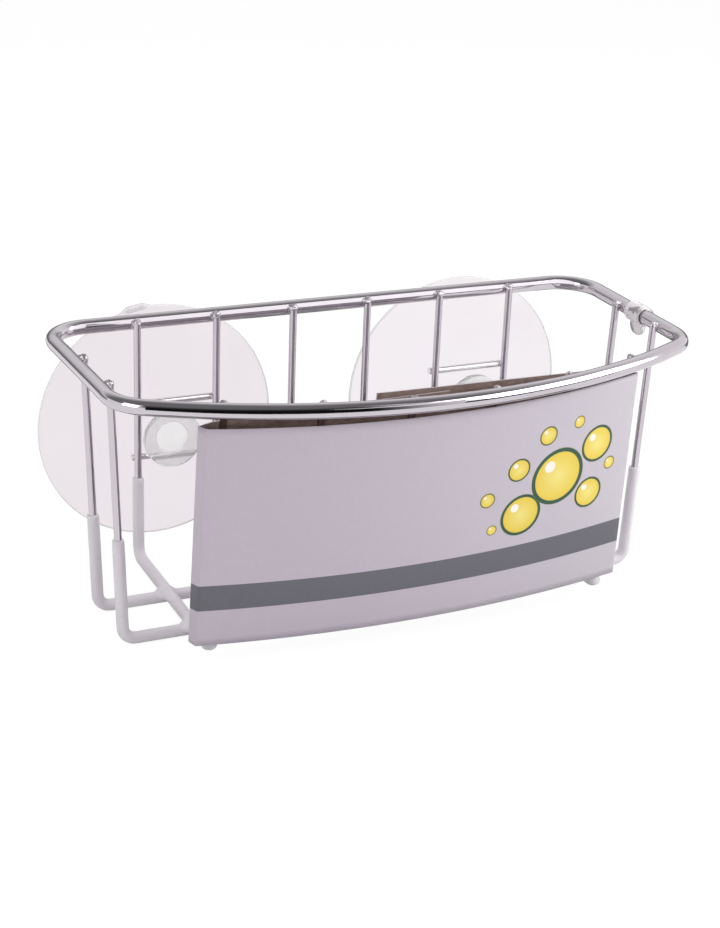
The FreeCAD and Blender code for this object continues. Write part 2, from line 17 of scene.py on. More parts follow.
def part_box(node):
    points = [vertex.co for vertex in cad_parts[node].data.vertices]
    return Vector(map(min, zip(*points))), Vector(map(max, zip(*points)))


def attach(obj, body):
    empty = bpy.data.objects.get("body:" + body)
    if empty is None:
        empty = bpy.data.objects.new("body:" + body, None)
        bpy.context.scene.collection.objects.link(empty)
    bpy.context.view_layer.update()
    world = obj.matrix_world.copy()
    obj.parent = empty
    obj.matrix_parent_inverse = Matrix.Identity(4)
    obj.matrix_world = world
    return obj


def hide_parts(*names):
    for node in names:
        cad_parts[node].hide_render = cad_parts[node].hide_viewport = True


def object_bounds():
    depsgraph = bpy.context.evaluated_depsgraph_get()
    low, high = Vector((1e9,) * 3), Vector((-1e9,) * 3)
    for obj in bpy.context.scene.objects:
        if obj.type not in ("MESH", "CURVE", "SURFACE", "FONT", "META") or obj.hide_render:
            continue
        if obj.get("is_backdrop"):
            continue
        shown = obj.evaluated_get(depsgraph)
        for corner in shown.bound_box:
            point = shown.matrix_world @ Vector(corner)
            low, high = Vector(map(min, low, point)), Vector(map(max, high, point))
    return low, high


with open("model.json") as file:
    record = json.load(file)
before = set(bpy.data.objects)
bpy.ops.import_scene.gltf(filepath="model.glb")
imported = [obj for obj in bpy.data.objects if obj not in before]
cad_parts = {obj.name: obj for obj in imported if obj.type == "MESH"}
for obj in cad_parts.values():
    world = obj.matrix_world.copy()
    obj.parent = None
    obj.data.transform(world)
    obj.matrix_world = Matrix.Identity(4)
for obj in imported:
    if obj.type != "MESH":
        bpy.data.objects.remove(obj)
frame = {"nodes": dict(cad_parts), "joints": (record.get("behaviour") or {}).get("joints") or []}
cad_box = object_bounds()
scene = bpy.context.scene
MM = 0.001
print("CAD pieces:", len(frame["nodes"]))

# %% [markdown]
# The camera is set first, because everything else is judged through it. It could be placed by eye,
# but then a wire in the wrong place and a camera in the wrong place look alike. So its place, its
# turn and its lens were worked out from the straight wires and the round cups in the photograph. The
# picture is 720 by 928 pixels, and Blender lays the sensor's width along the longer side.

# %% Camera
CAMERA_PLACE = Vector((-203.04, -424.92, 225.27)) * MM
CAMERA_YAW, CAMERA_PITCH, CAMERA_ROLL = 0.43597, 0.38161, 0.04008
FOCAL_PIXELS, LONG_SIDE_PIXELS = 1889.6, 928
SENSOR_WIDTH = 36.0
NEAREST_SEEN = 10 * MM


def camera_turn(yaw, pitch, roll):
    """The turn of a camera that looks to a yaw and down a pitch, and leans by a roll, in radians."""
    ahead = Vector((math.sin(yaw) * math.cos(pitch), math.cos(yaw) * math.cos(pitch), -math.sin(pitch)))
    level = Vector((math.cos(yaw), -math.sin(yaw), 0))
    above = level.cross(ahead)
    right = level * math.cos(roll) + above * math.sin(roll)
    up = above * math.cos(roll) - level * math.sin(roll)
    return Matrix((right, up, -ahead)).transposed()


camera = bpy.data.objects.new("camera", bpy.data.cameras.new("camera"))
scene.collection.objects.link(camera)
camera.data.sensor_width = SENSOR_WIDTH
camera.data.lens = FOCAL_PIXELS * SENSOR_WIDTH / LONG_SIDE_PIXELS
camera.data.clip_start = NEAREST_SEEN
turned = camera_turn(CAMERA_YAW, CAMERA_PITCH, CAMERA_ROLL).to_4x4()
camera.matrix_world = Matrix.Translation(CAMERA_PLACE) @ turned
scene.camera = camera
print("lens:", round(camera.data.lens, 2), "mm")

# %% [markdown]
# Materials are small node trees, and a few helpers keep them short. One starts a material, one adds a
# node, and the others are steps that many finishes share: noise for unevenness, a ramp that gives it
# a range, a mix of two colours and a bump. A number that is the same all over a surface is set on the
# shader's own socket, because an export reads it there.

# %% Material helpers
# The Mix node has inputs for each kind of data. These are the places of its colours and of their mix.
MIX_COLOURS, MIX_RESULT = (6, 7), 2
NOISE_MIDDLE = 0.5


def feed(tree, socket, value):
    """Gives a socket a fixed value, or links another node's output to it."""
    if isinstance(value, bpy.types.NodeSocket):
        tree.links.new(value, socket)
    else:
        socket.default_value = value


def add_node(tree, kind, inputs=None, **settings):
    """A new node, with its settings made and its inputs fed."""
    node = tree.nodes.new(kind)
    for key, value in settings.items():
        setattr(node, key, value)
    for socket, value in (inputs or {}).items():
        feed(tree, node.inputs[socket], value)
    return node


def feed_shader(tree, shader, **sockets):
    for socket, value in sockets.items():
        feed(tree, shader.inputs[socket.replace("_", " ")], value)


def start_material(name, **sockets):
    """A new material, its node tree and its Principled shader, with the shader's sockets set."""
    material = bpy.data.materials.new(name)
    material.use_nodes = True
    shader = material.node_tree.nodes["Principled BSDF"]
    feed_shader(material.node_tree, shader, **sockets)
    return material, material.node_tree, shader


def object_place(tree):
    return add_node(tree, "ShaderNodeTexCoord").outputs["Object"]


def noise_on(tree, place, scale, detail=3.0, roughness=0.5):
    """A cloudy number, with about so many lumps to a metre."""
    inputs = {"Vector": place, "Scale": scale, "Detail": detail, "Roughness": roughness}
    return add_node(tree, "ShaderNodeTexNoise", inputs).outputs["Fac"]


def ramp(tree, source, low, high, from_low=0.0, from_high=1.0):
    """A number that goes from low to high as the source goes over its own range."""
    inputs = {"Value": source, "From Min": from_low, "From Max": from_high, "To Min": low, "To Max": high}
    return add_node(tree, "ShaderNodeMapRange", inputs).outputs["Result"]


def spread(tree, noise, low, high, reach=0.2):
    """A noise, whose values crowd round their middle, stretched to go from low to high."""
    return ramp(tree, noise, low, high, NOISE_MIDDLE - reach, NOISE_MIDDLE + reach)


def two_colours(tree, factor, first, second):
    """A mix of two colours. Each is either a fixed colour or another node's output."""
    node = add_node(tree, "ShaderNodeMix", {"Factor": factor}, data_type="RGBA")
    for place, colour in zip(MIX_COLOURS, (first, second)):
        fixed = isinstance(colour, tuple)
        feed(tree, node.inputs[place], (*colour, 1.0) if fixed else colour)
    return node.outputs[MIX_RESULT]


def bump(tree, shader, height, distance, strength):
    inputs = {"Height": height, "Distance": distance, "Strength": strength}
    feed_shader(tree, shader, Normal=add_node(tree, "ShaderNodeBump", inputs).outputs["Normal"])


# %% [markdown]
# Chrome plate is almost a mirror, so most of what it shows is the studio. A plain grey mirror would
# do from afar. What makes it metal is small: the plate is a little cloudy, and under it the drawn
# wire leaves faint waves, so one noise varies the tint and the gloss and another one the height. The
# short bars for the cups are duller, and their paler tint is a painted reflection of the pale cups
# behind them, so tints and roughness are given to the function. The weld beads are plated too, but
# they are rough, with a dark tint of painted shade in their pits and a pale tint of painted highlight
# on their crowns.

# %% Chrome and weld metal
HAZE = 0.07


def chrome_plate(name, dull, bright, rough):
    """Plate that goes between two tints, and is a little rougher where it is brighter."""
    material, tree, shader = start_material(name, Metallic=1.0)
    place = object_place(tree)
    cloud = noise_on(tree, place, scale=140.0)
    waves = noise_on(tree, place, scale=420.0, detail=2.0)
    feed_shader(tree, shader, Base_Color=two_colours(tree, cloud, dull, bright),
                Roughness=spread(tree, cloud, rough, rough + HAZE))
    bump(tree, shader, waves, distance=0.02 * MM, strength=0.35)
    return material


def weld_metal(pit_shade, crown_highlight):
    """Rough metal with painted shade in its pits and a painted highlight on the crowns between them."""
    material, tree, shader = start_material("weld metal", Metallic=1.0)
    pits = noise_on(tree, object_place(tree), scale=1400.0, detail=4.0, roughness=0.6)
    tint = two_colours(tree, spread(tree, pits, 0, 1, reach=0.12), pit_shade, crown_highlight)
    rough = spread(tree, pits, low=0.46, high=0.24, reach=0.15)
    feed_shader(tree, shader, Base_Color=tint, Roughness=rough)
    bump(tree, shader, pits, distance=0.25 * MM, strength=0.7)
    return material


CHROME = chrome_plate("chrome plate", dull=(0.56, 0.52, 0.56), bright=(0.63, 0.587, 0.633), rough=0.06)
# The bars' paler tints are a painted reflection of the pale cups behind them.
BAR_CHROME_PAINTED_REFLECTION = chrome_plate(
    "chrome plate, bars, painted reflection", dull=(0.80, 0.77, 0.79), bright=(0.87, 0.84, 0.86), rough=0.2)
# Painted shade in the pits, and a painted highlight on the crowns.
WELD = weld_metal(pit_shade=(0.33, 0.31, 0.33), crown_highlight=(0.90, 0.87, 0.90))
print("metals:", [metal.name for metal in (CHROME, BAR_CHROME_PAINTED_REFLECTION, WELD)])

# %% [markdown]
# The thirteen wires are right as the solids have them, so they are not built again. Each one only
# trades its plain material for plate.

# %% Plate the wires
PLATED = {"rim_wire": CHROME, "cross_wire": CHROME, "long_wire": CHROME, "cup_bar": BAR_CHROME_PAINTED_REFLECTION}


def give_finish(piece, material):
    """Makes a material the only one on a piece."""
    piece.data.materials.clear()
    piece.data.materials.append(material)


for start, finish in PLATED.items():
    wires = [node for name, node in frame["nodes"].items() if name.startswith(start)]
    for wire in wires:
        give_finish(wire, finish)
    print(start, "plated:", len(wires))

# %% [markdown]
# The weld beads and the dip coat follow the wires, so the wires' routes are worked out once here:
# where each one runs along the floor, and where its two legs meet the rim. What a box can tell is
# read from the solids, to a hundredth of a millimetre. Slants, the bow of the front, the sinking of
# the welds and the rim's true radius don't show in the box of a mesh, so they are given.

# %% Wire routes
X, Y, Z = 0, 1, 2
RIM_RADIUS, WELD_SINK, LEG_STUB = 2.0, 0.25, 1.2
HALF_BACK, SIDE_LEAN, BOW_RADIUS = 80.9, 1.4 / 60.0, 150.0
FLOOR_INSET, LONG_LEG_SLOPE = 22.7, 2.7
CROSS_WIRES = [f"cross_wire_{number}" for number in range(1, 7)]
LONG_WIRES = ["long_wire_back", "long_wire_front"]


def span(node, axis):
    """Lowest and highest place of a solid along an axis, in millimetres."""
    return [round(corner[axis] / MM, 2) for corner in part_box(node)]


def middle(node, axis):
    return sum(span(node, axis)) / 2


RIM_HEIGHT = middle("rim_wire", Z)
FRONT_Y = span("rim_wire", Y)[0] + RIM_RADIUS
BACK_Y = span("rim_wire", Y)[1] - RIM_RADIUS
CROSS_X = [middle(wire, X) for wire in CROSS_WIRES]
LONG_Y = [middle(wire, Y) for wire in LONG_WIRES]
WIRE_RADIUS = span(CROSS_WIRES[0], X)[1] - CROSS_X[0]
CROSS_Z = span(CROSS_WIRES[0], Z)[0] + WIRE_RADIUS
LONG_Z = span(LONG_WIRES[0], Z)[0] + WIRE_RADIUS
CROSS_BACK_Y = span(CROSS_WIRES[0], Y)[1] - WIRE_RADIUS
CROSS_FRONT_Y = FRONT_Y + FLOOR_INSET
WELD_OFFSET = RIM_RADIUS + WIRE_RADIUS - WELD_SINK
LEG_TOP = RIM_HEIGHT + LEG_STUB


def bow_y(x):
    """Depth at which a wire at x meets the inside of the rim's bowed front."""
    return FRONT_Y + BOW_RADIUS - math.sqrt((BOW_RADIUS - WELD_OFFSET) ** 2 - x ** 2)


def leg_y(rim_y, height):
    """Depth of a slanted front leg at a height."""
    return CROSS_FRONT_Y + (rim_y - CROSS_FRONT_Y) * (height - CROSS_Z) / (RIM_HEIGHT - CROSS_Z)


def cross_route(x):
    """Corners of a wire from front to back, from the tip of its back leg to the tip of its front leg."""
    return [(x, CROSS_BACK_Y, LEG_TOP), (x, CROSS_BACK_Y, CROSS_Z),
            (x, CROSS_FRONT_Y, CROSS_Z), (x, leg_y(bow_y(x), LEG_TOP), LEG_TOP)]


def long_route(y):
    """Corners of a wire from side to side, from tip to tip. Its legs lean out."""
    low = HALF_BACK - SIDE_LEAN * (BACK_Y - y) - WELD_OFFSET - LONG_LEG_SLOPE
    high = low + LONG_LEG_SLOPE * (LEG_TOP - LONG_Z) / (RIM_HEIGHT - LONG_Z)
    return [(-high, y, LEG_TOP), (-low, y, LONG_Z), (low, y, LONG_Z), (high, y, LEG_TOP)]


CROSS_ROUTES = [cross_route(x) for x in CROSS_X]
LONG_ROUTES = [long_route(y) for y in LONG_Y]
ROUTES = CROSS_ROUTES + LONG_ROUTES
print("wire routes:", len(ROUTES), "with legs up to", LEG_TOP, "mm")

# %% [markdown]
# Every new piece ends the same way: a plain mesh in an object at the origin, with its place in its
# vertices. A modifier or a node tree could stay live on the piece, but an export would drop part of
# it, so it is baked down with new_from_object. A tree's inputs are set by each socket's identifier,
# which never changes, and not by its name.

# %% Piece helpers


def mesh_object(name, mesh, *materials):
    piece = bpy.data.objects.new(name, mesh)
    scene.collection.objects.link(piece)
    for material in materials:
        mesh.materials.append(material)
    return piece


def bake_down(piece):
    """Turns a piece with modifiers into a plain mesh object of the same name."""
    graph = bpy.context.evaluated_depsgraph_get()
    mesh = bpy.data.meshes.new_from_object(piece.evaluated_get(graph))
    name = piece.name
    bpy.data.objects.remove(piece)
    mesh.name = name
    mesh.shade_smooth()
    return mesh_object(name, mesh)


def new_tree(name, inputs):
    """A geometry node tree with a geometry input, named size inputs and a geometry output."""
    tree = bpy.data.node_groups.new(name, "GeometryNodeTree")
    tree.interface.new_socket("Geometry", in_out="INPUT", socket_type="NodeSocketGeometry")
    for label, kind in inputs.items():
        tree.interface.new_socket(label, in_out="INPUT", socket_type=kind)
    tree.interface.new_socket("Geometry", in_out="OUTPUT", socket_type="NodeSocketGeometry")
    given = tree.nodes.new("NodeGroupInput").outputs
    result = tree.nodes.new("NodeGroupOutput").inputs[0]
    return tree, given, result


def with_tree(piece, tree, values):
    """Puts a node tree on a piece and sets the tree's named inputs."""
    modifier = piece.modifiers.new(tree.name, "NODES")
    modifier.node_group = tree
    for item in tree.interface.items_tree:
        if item.in_out == "INPUT" and item.name in values:
            modifier[item.identifier] = values[item.name]


# %% [markdown]
# Each wire ends in a resistance weld: the tip is pressed against the rim, softens and spreads, and a
# bead of metal squeezes out. There are sixteen welds on the rim and eight on the cup bars, all alike
# and no two the same. They could be shaped one by one, but Geometry Nodes do it for all: they put a
# bead on each point of a small mesh, turn and stretch it at random from a fixed seed, and roughen the
# lot.

# %% Bead tree
BEAD_FINENESS, LUMPS_PER_METRE = 4, 1300.0
ANY_TURN = (6.28, 6.28, 6.28)
LEAST_STRETCH, MOST_STRETCH = (0.92, 0.92, 0.78), (1.12, 1.12, 1.0)


def combine(tree, operation, first, second):
    """A Math node on two numbers, each of them fixed or another node's output."""
    return add_node(tree, "ShaderNodeMath", {0: first, 1: second}, operation=operation).outputs[0]


def random_vector(tree, seed, low, high):
    inputs = {"Seed": seed, "Min": low, "Max": high}
    return add_node(tree, "FunctionNodeRandomValue", inputs, data_type="FLOAT_VECTOR").outputs[0]


def bead_tree():
    tree, given, result = new_tree("weld beads", {
        "Bead radius": "NodeSocketFloat", "Roughness": "NodeSocketFloat", "Seed": "NodeSocketInt"})
    points = add_node(tree, "GeometryNodeMeshToPoints", {"Mesh": given["Geometry"]})
    ball = add_node(tree, "GeometryNodeMeshIcoSphere", {
        "Radius": given["Bead radius"], "Subdivisions": BEAD_FINENESS})
    turn = random_vector(tree, given["Seed"], (0, 0, 0), ANY_TURN)
    beads = add_node(tree, "GeometryNodeInstanceOnPoints", {
        "Points": points.outputs[0], "Instance": ball.outputs[0],
        "Rotation": add_node(tree, "FunctionNodeEulerToRotation", {"Euler": turn}).outputs[0],
        "Scale": random_vector(tree, given["Seed"], LEAST_STRETCH, MOST_STRETCH)})
    real = add_node(tree, "GeometryNodeRealizeInstances", {"Geometry": beads.outputs[0]})
    place = add_node(tree, "GeometryNodeInputPosition").outputs[0]
    lumps = noise_on(tree, place, LUMPS_PER_METRE, detail=2.0)
    push = combine(tree, "MULTIPLY", combine(tree, "SUBTRACT", lumps, NOISE_MIDDLE), given["Roughness"])
    facing = add_node(tree, "GeometryNodeInputNormal").outputs[0]
    offset = add_node(tree, "ShaderNodeVectorMath", {0: facing, "Scale": push}, operation="SCALE")
    rough = add_node(tree, "GeometryNodeSetPosition", {
        "Geometry": real.outputs[0], "Offset": offset.outputs[0]})
    finish = add_node(tree, "GeometryNodeSetMaterial", {"Geometry": rough.outputs[0], "Material": WELD})
    tree.links.new(finish.outputs[0], result)
    return tree


BEADS = bead_tree()
print("bead tree nodes:", len(BEADS.nodes))

# %% [markdown]
# On the rim each tip gets two beads: one round the tip itself and one in the corner where it touches
# the rim. A bar gets one where it crosses a leg. The points are listed here, and the tree does the
# rest.

# %% Weld beads
TIP_DROP, CORNER_DROP = Vector((0, 0, 0.55)), Vector((0, 0, 0.75))
CORNER_OUT, BAR_OUT = 0.9, 0.1
RIM_BEAD, BAR_BEAD = 1.12, 0.95
BEAD_ROUGHNESS, BEAD_SEED = 0.7, 7


def way_to_rim(tip, from_side):
    """Level direction from a leg's tip to the stretch of rim beside it."""
    if from_side:
        return Vector((math.copysign(1, tip.x), 0, 0))
    if tip.y > 0:
        return Vector((0, 1, 0))
    return Vector((tip.x, tip.y - FRONT_Y - BOW_RADIUS, 0)).normalized()


def rim_weld_points():
    points = []
    for route in ROUTES:
        for tip in (Vector(route[0]), Vector(route[-1])):
            outward = way_to_rim(tip, from_side=route in LONG_ROUTES)
            points.append(tip - TIP_DROP)
            points.append(tip + outward * CORNER_OUT - CORNER_DROP)
    return points


def bar_weld_points():
    depth = CROSS_BACK_Y + WIRE_RADIUS + BAR_OUT
    heights = [middle(f"cup_bar_left_{level}", Z) for level in ("lower", "upper")]
    return [Vector((x, depth, height)) for x in (*CROSS_X[:2], *CROSS_X[-2:]) for height in heights]


def weld_beads(name, points, radius):
    mesh = bpy.data.meshes.new(name)
    mesh.from_pydata([point * MM for point in points], [], [])
    piece = mesh_object(name, mesh)
    with_tree(piece, BEADS, {
        "Bead radius": radius * MM, "Roughness": BEAD_ROUGHNESS * MM, "Seed": BEAD_SEED})
    piece = bake_down(piece)
    give_finish(piece, WELD)
    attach(piece, "basket")
    print(name, "faces:", len(piece.data.polygons))


weld_beads("rim_welds", rim_weld_points(), RIM_BEAD)
weld_beads("bar_welds", bar_weld_points(), BAR_BEAD)

# %% [markdown]
# The white coat is soft vinyl. Light goes a little way into it, so its shadows are pale, and it dries
# with a skin that is uneven in gloss and faintly wavy. A plain white would look like paint. Here a
# weak subsurface carries the light, and noises vary the tint, the gloss and the height.

# %% White vinyl


def coat_vinyl(dull, bright):
    material, tree, shader = start_material(
        "white vinyl", IOR=1.5, Subsurface_Weight=0.12, Subsurface_Scale=0.6 * MM,
        Subsurface_Radius=(1.0, 0.9, 0.95))
    place = object_place(tree)
    shade = noise_on(tree, place, scale=90.0)
    gloss = noise_on(tree, place, scale=600.0)
    waves = noise_on(tree, place, scale=500.0, detail=2.0)
    feed_shader(tree, shader, Base_Color=two_colours(tree, shade, dull, bright),
                Roughness=spread(tree, gloss, low=0.26, high=0.42))
    bump(tree, shader, waves, distance=0.04 * MM, strength=0.3)
    return material


VINYL = coat_vinyl(dull=(0.71, 0.665, 0.715), bright=(0.78, 0.74, 0.785))
print("coat finish:", VINYL.name)

# %% [markdown]
# The hot basket was dipped in the vinyl floor first, so the coat ends on every leg at one level, which
# is a little higher at the front. Each wire's route is cut there, and its two corners are rounded to
# the bends of the wire.

# %% Dipped stretches
DIP_HEIGHT, DIP_TILT = 26.7, math.radians(3.7)
BEND_RADIUS, BEND_STEPS = 3.5, 8


def dip_line(y):
    return DIP_HEIGHT + (BACK_Y - y) * math.tan(DIP_TILT)


def round_bend(before, corner, after):
    """Points along a bend of the wire that rounds a corner of its route."""
    back, ahead = (before - corner).normalized(), (after - corner).normalized()
    half = back.angle(ahead) / 2
    centre = corner + (back + ahead).normalized() * (BEND_RADIUS / math.sin(half))
    start, stop = (corner + way * (BEND_RADIUS / math.tan(half)) - centre for way in (back, ahead))
    turns = [start.slerp(stop, step / BEND_STEPS) for step in range(BEND_STEPS + 1)]
    return [centre + turn.normalized() * BEND_RADIUS for turn in turns]


def dipped_stretch(route):
    """Points along the part of a wire under the dip line."""
    ends = []
    for tip, foot in ((route[0], route[1]), (route[3], route[2])):
        share = (dip_line(foot[Y]) - foot[Z]) / (tip[Z] - foot[Z])
        ends.append(Vector(foot).lerp(Vector(tip), share))
    first, last = Vector(route[1]), Vector(route[2])
    return [ends[0], *round_bend(ends[0], first, last), *round_bend(first, last, ends[1]), ends[1]]


DIPPED = [dipped_stretch(route) for route in ROUTES]
print("dipped stretches:", len(DIPPED))

# %% [markdown]
# The coat hugs each wire, webs over at the crossings and hangs in a drip under the two outer front
# bends. It could be left as thick tubes, but then each crossing would be a hard line. Here Geometry
# Nodes sweep a circle along the dipped stretches, flat beads are added where vinyl gathers, a voxel
# remesh joins it all to one skin, and a smoothing pass rounds the webs and the ends.

# %% Dip coat
COAT_WALL, SMOOTHING_LOSS, COAT_SIDES = 0.6, 0.03, 24
WEB_RADIUS, WEB_HEIGHT = 3.1, 1.7
DRIP_RADIUS, DRIP_HEIGHT = 2.2, 1.65
DRIP_DROP, DRIP_BACK, DRIP_SHIFTS = 0.3, 1.1, (0.4, 1.0)
BLOB_FINENESS = 3
COAT_VOXEL, COAT_PASSES = 0.38, 7
SMOOTHING = 0.5


def coat_tree():
    tree, given, result = new_tree("dip coat", {
        "Coat radius": "NodeSocketFloat", "Sides": "NodeSocketInt"})
    circle = add_node(tree, "GeometryNodeCurvePrimitiveCircle", {
        "Radius": given["Coat radius"], "Resolution": given["Sides"]})
    tube = add_node(tree, "GeometryNodeCurveToMesh", {
        "Curve": given["Geometry"], "Profile Curve": circle.outputs[0], "Fill Caps": True})
    real = add_node(tree, "GeometryNodeRealizeInstances", {"Geometry": tube.outputs[0]})
    finish = add_node(tree, "GeometryNodeSetMaterial", {"Geometry": real.outputs[0], "Material": VINYL})
    tree.links.new(finish.outputs[0], result)
    return tree


def add_blobs(piece):
    """Adds a flat bead of vinyl at each crossing, and a drip under the two outer front bends."""
    work = bmesh.new()
    work.from_mesh(piece.data)
    blobs = [(x, y, (CROSS_Z + LONG_Z) / 2, WEB_RADIUS, WEB_HEIGHT) for x in CROSS_X for y in LONG_Y]
    drip_y, drip_z = CROSS_FRONT_Y + DRIP_BACK, CROSS_Z - DRIP_DROP
    for x, shift in zip((CROSS_X[0], CROSS_X[-1]), DRIP_SHIFTS):
        blobs.append((x + shift, drip_y, drip_z, DRIP_RADIUS, DRIP_HEIGHT))
    for x, y, z, across, high in blobs:
        place = Matrix.Translation(Vector((x, y, z)) * MM)
        flat = Matrix.Diagonal((across, across, high, 1.0))
        bmesh.ops.create_icosphere(work, subdivisions=BLOB_FINENESS, radius=MM, matrix=place @ flat)
    work.to_mesh(piece.data)
    work.free()


def soft_skin(piece, voxel, passes):
    """Joins a piece to one skin of small voxels, and smooths it."""
    skin = piece.modifiers.new("one skin", "REMESH")
    skin.mode = "VOXEL"
    skin.voxel_size = voxel * MM
    soften = piece.modifiers.new("soften", "SMOOTH")
    soften.factor = SMOOTHING
    soften.iterations = passes
    return bake_down(piece)


def dip_coat():
    curve = bpy.data.curves.new("dip_coat_skin", "CURVE")
    curve.dimensions = "3D"
    for points in DIPPED:
        spline = curve.splines.new("POLY")
        spline.points.add(len(points) - 1)
        for target, point in zip(spline.points, points):
            target.co = (*(point * MM), 1.0)
    piece = bpy.data.objects.new("dip_coat_skin", curve)
    scene.collection.objects.link(piece)
    radius = WIRE_RADIUS + COAT_WALL + SMOOTHING_LOSS
    with_tree(piece, coat_tree(), {"Coat radius": radius * MM, "Sides": COAT_SIDES})
    piece = bake_down(piece)
    add_blobs(piece)
    return soft_skin(piece, COAT_VOXEL, COAT_PASSES)


coat = dip_coat()
give_finish(coat, VINYL)
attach(coat, "basket")
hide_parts("dip_coat")
print("dip coat faces:", len(coat.data.polygons))

# %% [markdown]
# The suction cups are clear soft vinyl. It could be glass with a tint, but glass bends light so much
# that a thin cup turns into a lens. So the lips bend it little, and the thick head, which is hazy,
# bends it more and lets less of it through. The edge of the lip was trimmed, and shows as a pale
# line. The left cup stands in the wires' shade, so its lip gets deeper tints than the right one:
# painted shade.

# %% Clear vinyl


def clear_vinyl(name, thin, thick, clearness, bend, rough, waves=0.02):
    """Clear vinyl between two tints, with how much light goes through and how much it bends."""
    material, tree, shader = start_material(name, IOR=bend, Transmission_Weight=clearness)
    place = object_place(tree)
    haze = noise_on(tree, place, scale=60.0)
    swell = noise_on(tree, place, scale=300.0, detail=2.0)
    feed_shader(tree, shader, Base_Color=two_colours(tree, haze, thick, thin),
                Roughness=spread(tree, haze, rough, rough + HAZE))
    bump(tree, shader, swell, distance=waves * MM, strength=0.4)
    return material


LIP = {"clearness": 1.0, "bend": 1.14, "rough": 0.03}
# The left lip's deeper tints are painted shade, for the wires' shadow on that cup.
SHADED_LEFT_LIP = clear_vinyl(
    "clear vinyl, left lip, painted shade", thin=(0.835, 0.785, 0.815), thick=(0.80, 0.745, 0.775), **LIP)
RIGHT_LIP = clear_vinyl(
    "clear vinyl, right lip", thin=(0.885, 0.845, 0.87), thick=(0.855, 0.81, 0.835), **LIP)
THICK_CORE = clear_vinyl(
    "clear vinyl, thick core", thin=(0.92, 0.925, 0.925), thick=(0.84, 0.85, 0.85),
    clearness=0.78, bend=1.3, rough=0.15, waves=0.3)
CUT_EDGE = clear_vinyl(
    "clear vinyl, trimmed edge", thin=(0.90, 0.875, 0.89), thick=(0.82, 0.80, 0.815),
    clearness=0.45, bend=1.2, rough=0.12)
print("cup finishes:", [vinyl.name for vinyl in (SHADED_LEFT_LIP, RIGHT_LIP, THICK_CORE, CUT_EDGE)])

# %% [markdown]
# A cup is one moulding: a thin dished lip, a boss, a neck that sits between the two bars, and a round
# head that stops it slipping out. It is drawn as half of its section, with the depth measured from
# the wall and the radius from the axis. Corners are rounded, because a clear moulding with sharp
# corners looks like cut glass. A small pip on the head is where the vinyl ran into the mould.

# %% Cup section
CUP_RADIUS, LIP_LAND, LIP_WALL = 33.8, 1.6, 0.9
HOLLOW_DEPTH, DISH_WALL = 5.0, 1.8
BOSS_RADIUS, BOSS_TOP_RADIUS, BOSS_TOP = 8.0, 6.4, 10.0
NECK_RADIUS, NECK_LENGTH = 4.2, 3.4
HEAD_RADIUS, HEAD_EDGE, HEAD_DOME = 8.1, 2.6, 1.2
HOLLOW_STEPS, DISH_STEPS, DOME_STEPS, CORNER_STEPS = 22, 26, 10, 4
LIP_CUTS, BODY_CUTS, MOST_CUT = (0.3, 0.3, 0.3), (1.2, 0.6, 0.5, 0.5, 0.7, 0.7), 0.45
# Height over the head and radius
PIP, PIP_ROOM = ((0.05, 1.5), (0.3, 1.3), (0.4, 0.9), (0.4, 0.0)), 2.0


def arc_on_axis(first, last, steps):
    """Points inside the arc between two places (depth, radius) whose centre lies on the axis."""
    (y0, r0), (y1, r1) = first, last
    centre = (y0 + y1) / 2 + (r0 + r1) / 2 * (r1 - r0) / (y1 - y0)
    start, stop = math.atan2(r0, y0 - centre), math.atan2(r1, y1 - centre)
    radius = math.hypot(r0, y0 - centre)
    angles = [start + (stop - start) * step / steps for step in range(1, steps)]
    return [(centre + radius * math.cos(a), radius * math.sin(a)) for a in angles]


def soft_corner(before, corner, after, cut):
    """A corner of an outline, cut back along both sides and rounded."""
    ends = []
    for other in (before, after):
        dx, dy = other[0] - corner[0], other[1] - corner[1]
        share = min(cut / math.hypot(dx, dy), MOST_CUT)
        ends.append((corner[0] + dx * share, corner[1] + dy * share))
    points = []
    for step in range(CORNER_STEPS + 1):
        t = step / CORNER_STEPS
        weights = ((1 - t) ** 2, 2 * t * (1 - t), t ** 2)
        pulls = list(zip(weights, (ends[0], corner, ends[1])))
        points.append(tuple(sum(weight * place[axis] for weight, place in pulls) for axis in (X, Y)))
    return points


def soft_run(line, cuts):
    """The inner corners of a line, each one rounded by its own cut."""
    corners = zip(line, line[1:], line[2:], cuts)
    return [point for corner in corners for point in soft_corner(*corner)]


def cup_section():
    """From the middle of the hollow, round the lip, to the top of the head."""
    head_back = -BOSS_TOP - NECK_LENGTH
    head_front = head_back - HEAD_EDGE
    head_top = head_front - HEAD_DOME
    deepest = (-HOLLOW_DEPTH, 0.0)
    lip = [(0.0, CUP_RADIUS - LIP_LAND), (0.0, CUP_RADIUS), (-LIP_WALL, CUP_RADIUS)]
    body = [(-HOLLOW_DEPTH - DISH_WALL, BOSS_RADIUS), (-BOSS_TOP, BOSS_TOP_RADIUS),
            (-BOSS_TOP, NECK_RADIUS), (head_back, NECK_RADIUS),
            (head_back, HEAD_RADIUS), (head_front, HEAD_RADIUS)]
    hollow = arc_on_axis(deepest, lip[0], HOLLOW_STEPS)
    dish = arc_on_axis(lip[-1], body[0], DISH_STEPS)
    dome = arc_on_axis(body[-1], (head_top, 0.0), DOME_STEPS)
    section = [deepest, *hollow, *soft_run([hollow[-1], *lip, dish[0]], LIP_CUTS)]
    section += [*dish, *soft_run([dish[-1], *body, dome[0]], BODY_CUTS)]
    section += [point for point in dome if point[1] > PIP_ROOM]
    return section + [(head_top - height, radius) for height, radius in PIP]


CUP_SECTION = cup_section()
print("cup section points:", len(CUP_SECTION))

# %% [markdown]
# The section is turned round the cup's axis like a piece on a lathe, with a ring of vertices for each
# of its points. A screw modifier could do that too, but a short pull tab is drawn out of the lip, so
# the rings are made in code. The axis is the one that the cup's own hinge turns about, which the
# frame knows.

